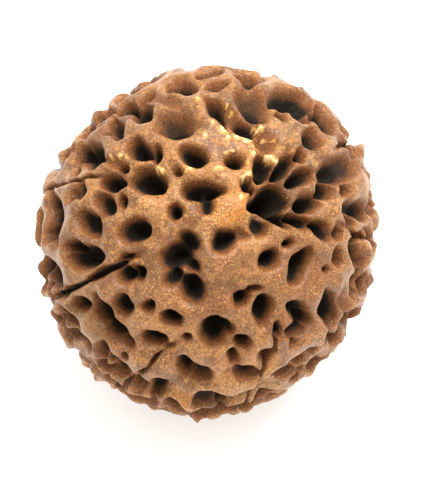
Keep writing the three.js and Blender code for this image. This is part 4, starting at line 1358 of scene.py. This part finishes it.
def patches(ways, rows):
    """Soft round patches, placed one by one, added up."""
    total = np.zeros(len(ways))
    for x, y, reach, amount in rows:
        middle = unit(seen_point(x, y, true_radius(x, y)))
        away = WAIST_RADIUS * np.arccos(np.clip(ways @ middle, -1, 1))
        total += amount * np.exp(-((away / reach) ** 2))
    return total


print(len(PULP), "crumbs of pulp,", len(WARM) + len(STAIN_AND_SHADE_PATCHES), "patches of tone")

# %% [markdown]
# A crumb of pulp has ragged edges, stands up a little, and clings to the ridges only.

# %% Numbers on every point
PULP_HEIGHT = 0.07
PULP_DEPTHS = (0.35, 0.75)    # pulp thins out between these depths
PULP_RAGS = ((0.32, 0.9), (0.26, 0.4))    # strength and length of the waves at its edge
RAG_COUNT = 12
PULP_START = (0.02, 0.3)  # over these covers the waves set in
PULP_RISE = (0.1, 1.0)    # and over these the pulp thickens
# The pale rim is a painted highlight; RIM_FADE sets how fast it fades down into a pit.
RIM_FADE = 0.15           # a pale rim is gone a few times this far down
rags = [make_waves(RAG_COUNT, length, finer) for _, length in PULP_RAGS]


def give_numbers(mesh, name, values):
    attribute = mesh.attributes.new(name, "FLOAT", "POINT")
    attribute.data.foreach_set("value", np.asarray(values, dtype=np.float32))


def pulp_cover(ways):
    """1 where a crumb of pulp sticks, with ragged edges."""
    cover = patches(ways, [(*row, 1.0) for row in PULP])
    ragged = sum(most * wave_sum(waves, ways) for (most, _), waves in zip(PULP_RAGS, rags))
    return smoothstep(*PULP_RISE, cover + ragged * smoothstep(*PULP_START, cover))


points = coordinates(mesh)
radii = np.linalg.norm(points, axis=1)
ways = points / radii[:, None]
near = neighbours(ways)
roll = relief(ways, near)[1]
depth = ground_radius(ways, near, roll) - radii
pulp = pulp_cover(ways) * (1 - smoothstep(*PULP_DEPTHS, depth))
set_coordinates(mesh, points + ways * (PULP_HEIGHT * pulp)[:, None])
# depth_mm also drives the painted shade in the pits, along with their stain
give_numbers(mesh, "depth_mm", depth)
# The rim number says where the painted highlight lies: along the rims of pits, fading with depth.
give_numbers(mesh, "rim", roll * np.exp(-np.maximum(depth, 0) / RIM_FADE))
give_numbers(mesh, "pulp", pulp)
give_numbers(mesh, "warm", patches(ways, WARM))
give_numbers(mesh, "stain", patches(ways, STAIN_AND_SHADE_PATCHES))
print("numbers on", len(points), "points, the deepest", round(float(depth.max()), 2), "mm down")

# %% [markdown]
# ## Into the frame
#
# So far everything was in millimetres round the seed's own middle. Now the mesh itself is
# scaled to metres and moved, and the object stays at the origin, unturned and unscaled.

# %% The seed, placed
mesh.transform(Matrix.Translation(SEED_MIDDLE) @ Matrix.Scale(MM, 4))
mesh.shade_smooth()
seed = bpy.data.objects.new("seed_stone", mesh)
bpy.context.scene.collection.objects.link(seed)
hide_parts("seed")
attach(seed, "root")
print(seed.name, "stands in for the coarse seed")

# %% [markdown]
# ## A small language for finishes
#
# Node trees are long to write out. A class wraps one output of a node, and plus, minus and
# times on it add Math nodes, so that a value is written as it would be on paper.

# %% Sockets that can be reckoned with
class Flow:
    """One output of a node in a finish."""

    def __init__(self, finish, socket):
        self.finish = finish
        self.socket = socket

    def math(self, operation, first, second):
        return self.finish.add("ShaderNodeMath", {"operation": operation}, {0: first, 1: second})

    def __add__(self, other):
        return self.math("ADD", self, other)

    def __sub__(self, other):
        return self.math("SUBTRACT", self, other)

    def __rsub__(self, other):
        return self.math("SUBTRACT", other, self)

    def __mul__(self, other):
        return self.math("MULTIPLY", self, other)

    __radd__ = __add__
    __rmul__ = __mul__


print("one output can be added, subtracted and multiplied")

# %% [markdown]
# Every other node comes from one method that takes the node's type, its settings and what
# goes into its sockets. The few kinds that are needed often have short names of their own.

# %% A finish and its nodes
class Finish:
    """A material and the nodes in it."""

    def __init__(self, name):
        self.material = bpy.data.materials.new(name)
        self.material.use_nodes = True
        self.tree = self.material.node_tree
        self.tree.nodes.clear()

    def add(self, kind, settings, sockets, output=0):
        node = self.tree.nodes.new(kind)
        for name, value in settings.items():
            setattr(node, name, value)
        for name, value in sockets.items():
            if isinstance(value, Flow):
                self.tree.links.new(value.socket, node.inputs[name])
            else:
                node.inputs[name].default_value = value
        return Flow(self, node.outputs[output]) if node.outputs else None

    def number(self, name):
        """A number that the mesh carries on its points."""
        return self.add("ShaderNodeAttribute", {"attribute_name": name}, {}, "Fac")

    def between(self, value, low, high):
        """0 below low, 1 above high, and a soft rise between."""
        settings = {"interpolation_type": "SMOOTHSTEP"}
        sockets = {"Value": value, "From Min": low, "From Max": high}
        return self.add("ShaderNodeMapRange", settings, sockets)

    def mix(self, share, first, second, blend="MIX"):
        """Two colours mixed. Plain colours are given as three numbers."""
        first, second = (
            paint if isinstance(paint, Flow) else (*paint, 1.0) for paint in (first, second))
        settings = {"data_type": "RGBA", "blend_type": blend}
        return self.add("ShaderNodeMix", settings, {0: share, 6: first, 7: second}, 2)

    def noise(self, where, scale, detail, roughness):
        """Noise with its lumps about 1/scale apart, in metres."""
        sockets = {"Vector": where, "Scale": scale, "Detail": detail, "Roughness": roughness}
        return self.add("ShaderNodeTexNoise", {}, sockets)

    def done(self, sockets):
        """The material, with a surface that these sockets describe."""
        surface = self.add("ShaderNodeBsdfPrincipled", {}, sockets)
        self.add("ShaderNodeOutputMaterial", {}, {"Surface": surface})
        return self.material


wood = Finish("seed_wood")
print("an empty finish named", wood.material.name)

# %% [markdown]
# ## The wood
#
# The ridges are a dry warm brown with a painted highlight along the rims of the pits, and the
# pits hold old stain and painted shade. The colour runs from ochre round the stem hollow to a
# greyer brown at the left. All of it is worked out from the numbers on the points and from
# noise in Object coordinates, from lumps of 4 mm down to dust of a tenth of a millimetre.

# %% What the wood is worked out from
NOISES = {                # lumps to the metre, octaves, roughness
    "broad": (230.0, 2.0, 0.55), "blotch": (600.0, 3.0, 0.6), "smear": (900.0, 4.0, 0.65),
    "mottle": (1300.0, 4.0, 0.6), "glint": (2600.0, 3.0, 0.65), "fleck": (4200.0, 2.0, 0.6),
    "grain": (6500.0, 2.0, 0.6), "dust": (9500.0, 1.0, 0.5),
}
NOISE_MIDDLE = 0.5        # noise swings round this

place = wood.add("ShaderNodeTexCoord", {}, {}, "Object")
noise = SimpleNamespace(**{name: wood.noise(place, *row) for name, row in NOISES.items()})
mottled = noise.mottle - NOISE_MIDDLE
blotched = noise.blotch - NOISE_MIDDLE
flecked = noise.fleck - NOISE_MIDDLE
grained = noise.grain - NOISE_MIDDLE
deep = wood.number("depth_mm")
rimmed = wood.number("rim")
warmth = wood.number("warm")
print(len(NOISES), "noises in the wood")

# %% [markdown]
# The colour is built up in layers, as a painter would: a paint lies over the colour below it
# where some value is high. Each layer says the paint, the value, between which two heights of
# it the paint thickens, and how much the paint covers at most. Ochre comes first, then warmer
# and cooler patches, a painted highlight on the rims, and blotches, smears, flecks and golden
# glints over all; the glints are partly golden patches of the wood and partly painted highlights.

# %% Wood, with painted highlights
OCHRE = (0.33, 0.145, 0.044)
BROWN = (0.155, 0.062, 0.02)
ORANGE = (0.38, 0.135, 0.022)
OLIVE = (0.13, 0.078, 0.034)
# a painted highlight along the rims of the pits
RIM_HIGHLIGHT = (0.46, 0.29, 0.155)
GREY_ROSE = (0.245, 0.145, 0.07)
RUST = (0.21, 0.074, 0.021)
# GOLD is for glints: partly golden patches of the wood, partly painted highlights
GOLD = (0.46, 0.25, 0.075)
WOOD_AND_HIGHLIGHT_LAYERS = [          # paint, value, from, to, cover
    (OCHRE, noise.broad + 1.5 * mottled + 0.2 * warmth, 0.38, 0.64, 1.0),
    (ORANGE, warmth + 1.4 * mottled, 0.2, 1.3, 1.0),
    (OLIVE, 0.8 * (noise.broad - NOISE_MIDDLE) - warmth, 0.0, 0.8, 0.7),
    # painted highlight on the rims
    (RIM_HIGHLIGHT, rimmed + 0.6 * mottled, 0.7, 1.1, 0.7),
    (GREY_ROSE, noise.blotch - 0.1 * warmth, 0.42, 0.66, 0.6),
    (RUST, noise.smear - 0.05 * warmth, 0.5, 0.66, 0.55),
    (RUST, noise.fleck + 0.3 * mottled, 0.52, 0.68, 0.42),
    # golden glints, partly painted highlights
    (GOLD, noise.glint + 0.12 * warmth + 0.8 * blotched, 0.55, 0.75, 0.52),
    (ORANGE, warmth + 0.8 * mottled + 0.5 * flecked, 0.45, 1.2, 0.75),
]


def layered(colour, layers):
    for paint, value, low, high, cover in layers:
        colour = wood.mix(cover * wood.between(value, low, high), colour, paint)
    return colour


wood_and_highlights = layered(BROWN, WOOD_AND_HIGHLIGHT_LAYERS)
print(len(WOOD_AND_HIGHLIGHT_LAYERS), "layers of fresh wood")

# %% [markdown]
# Stain gathers in the pits, and with it painted shade: the deeper, the darker, from rust on the
# flanks to nearly black at the floor. The same stain lies in patches on some ridges, and painted
# shadow under the lip of the terrace.

# %% Stain and painted shade
FLANK_BROWN = (0.14, 0.052, 0.017)
PIT_BLACK = (0.014, 0.009, 0.005)
# depth makes painted shade in the pits; the patches add stain, and painted shadow under the lip of
# the terrace
stain = deep + wood.number("stain") + 0.5 * mottled
STAIN_AND_SHADE_LAYERS = [          # columns as above
    (RUST, stain + 0.8 * blotched, -0.05, 0.25, 1.0),
    (FLANK_BROWN, stain, 0.08, 0.45, 1.0),
    (PIT_BLACK, stain, 0.38, 1.0, 1.0),
]
stained_and_shaded_wood = layered(wood_and_highlights, STAIN_AND_SHADE_LAYERS)
print(len(STAIN_AND_SHADE_LAYERS), "layers of stain")

# %% [markdown]
# Fine grain darkens and lightens everything below it. Golden specks lie on top, partly grain of
# the wood and partly painted glints, more of them on the ridges, and then the crumbs of pulp,
# tan at their edges and cream in the middle.

# %% Grain, golden specks with painted glints, and pulp
# SPECK_GOLD is for specks that are partly grain and partly painted glints
SPECK_GOLD = (0.62, 0.38, 0.14)
PULP_TAN = (0.52, 0.26, 0.065)
PULP_CREAM = (0.78, 0.55, 0.26)
GRAIN_DARKEST = -0.05
GRAIN_CONTRAST = 2.1
shade = GRAIN_DARKEST + GRAIN_CONTRAST * noise.grain
grey = wood.add("ShaderNodeCombineColor", {}, {"Red": shade, "Green": shade, "Blue": shade})
grained_wood = wood.mix(1.0, stained_and_shaded_wood, grey, "MULTIPLY")

# golden specks: partly grain, partly painted glints, fewer down in the pits
dust_and_glints = noise.dust + 0.3 * mottled + 0.3 * blotched + 0.06 * warmth - 0.25 * deep
crumb = wood.number("pulp") + 0.5 * mottled + 0.4 * grained
TOP_LAYERS = [            # columns as above
    (SPECK_GOLD, dust_and_glints, 0.58, 0.78, 0.68),
    (PULP_TAN, crumb, 0.08, 0.45, 0.75),
    (PULP_CREAM, crumb, 0.5, 0.95, 0.95),
]
wood_colour = layered(grained_wood, TOP_LAYERS)
print(len(wood.tree.nodes), "nodes so far")

# %% [markdown]
# The ridges are slightly waxy from handling and the pits are dull. So a thin coat lies on the
# ridges only, and the roughness grows with depth. Small bumps come from the same noises as
# the colour.

# %% Gloss and bumps
BUMP_HEIGHT = 0.0002      # metres
BUMP_STRENGTH = 0.8
RIDGE_ROUGHNESS = 0.45
PIT_ROUGHER = 0.35        # so much rougher is the wood in the pits
GRAIN_ROUGHER = 0.2
COAT = 0.22               # on the ridges
EDGE_WARM = (1.0, 0.8, 0.55, 1.0)
bumps = 0.5 * noise.mottle + 0.4 * noise.grain + 0.1 * noise.dust
bump = wood.add("ShaderNodeBump", {}, {
    "Strength": BUMP_STRENGTH, "Distance": BUMP_HEIGHT, "Height": bumps})
dullness = PIT_ROUGHER * wood.between(deep, 0.1, 0.8) + GRAIN_ROUGHER * grained
seed.data.materials.clear()
seed.data.materials.append(wood.done({
    "Base Color": wood_colour, "Roughness": RIDGE_ROUGHNESS + dullness, "Normal": bump,
    "Coat Weight": COAT * (1 - wood.between(deep, 0.05, 0.4)), "Coat Roughness": 0.3,
    "Sheen Weight": 0.08, "Sheen Roughness": 0.35, "Sheen Tint": EDGE_WARM,
    "Specular IOR Level": 0.15,
}))
print("finished", wood.material.name, "with", len(wood.tree.nodes), "nodes")

# %% [markdown]
# ## Stage and light
#
# The seed lies on a pale floor under a white sky, with one large soft lamp above it and a
# little behind. The floor glows a little, so that shadows on it stay faint.

# %% Floor, sky and lamp
FLOOR_SIZE = 3.0          # metres
FLOOR_WHITE = (0.88, 0.86, 0.83, 1.0)
FLOOR_ROUGHNESS = 0.9
FLOOR_GLOW = 0.5
SKY_STRENGTH = 1.16
LAMP_AWAY = (0.05, 0.08, 0.30)    # metres, from the middle of the seed
LAMP_SIZE = 0.30          # metres
LAMP_POWER = 1.9          # watts


def make_floor():
    flat = bmesh.new()
    bmesh.ops.create_grid(flat, x_segments=1, y_segments=1, size=FLOOR_SIZE / 2)
    data = bpy.data.meshes.new("floor")
    flat.to_mesh(data)
    flat.free()
    floor = bpy.data.objects.new("floor", data)
    bpy.context.scene.collection.objects.link(floor)
    data.materials.append(Finish("floor_white").done({
        "Base Color": FLOOR_WHITE, "Roughness": FLOOR_ROUGHNESS,
        "Emission Color": FLOOR_WHITE, "Emission Strength": FLOOR_GLOW,
    }))


def make_sky():
    sky = bpy.data.worlds.new("white_sky")
    bpy.context.scene.world = sky
    sky.use_nodes = True
    background = sky.node_tree.nodes["Background"]
    background.inputs["Color"].default_value = (1.0, 1.0, 1.0, 1.0)
    background.inputs["Strength"].default_value = SKY_STRENGTH


def make_lamp():
    data = bpy.data.lights.new("soft_key", "AREA")
    data.shape = "DISK"
    data.size = LAMP_SIZE
    data.energy = LAMP_POWER
    lamp = bpy.data.objects.new("soft_key", data)
    bpy.context.scene.collection.objects.link(lamp)
    lamp.location = SEED_MIDDLE + Vector(LAMP_AWAY)
    lamp.rotation_euler = (-Vector(LAMP_AWAY)).to_track_quat("-Z", "Y").to_euler()


make_floor()
make_sky()
make_lamp()
bpy.context.scene.view_settings.view_transform = "Standard"
print("a floor, a sky and a lamp")

# %% [markdown]
# ## The size of the fine seed
#
# The fine seed should fill the box of the coarse one. Its fine ridge tops keep what coarse
# facets cut off, so it may be larger by one or two hundredths.

# %% [markdown]
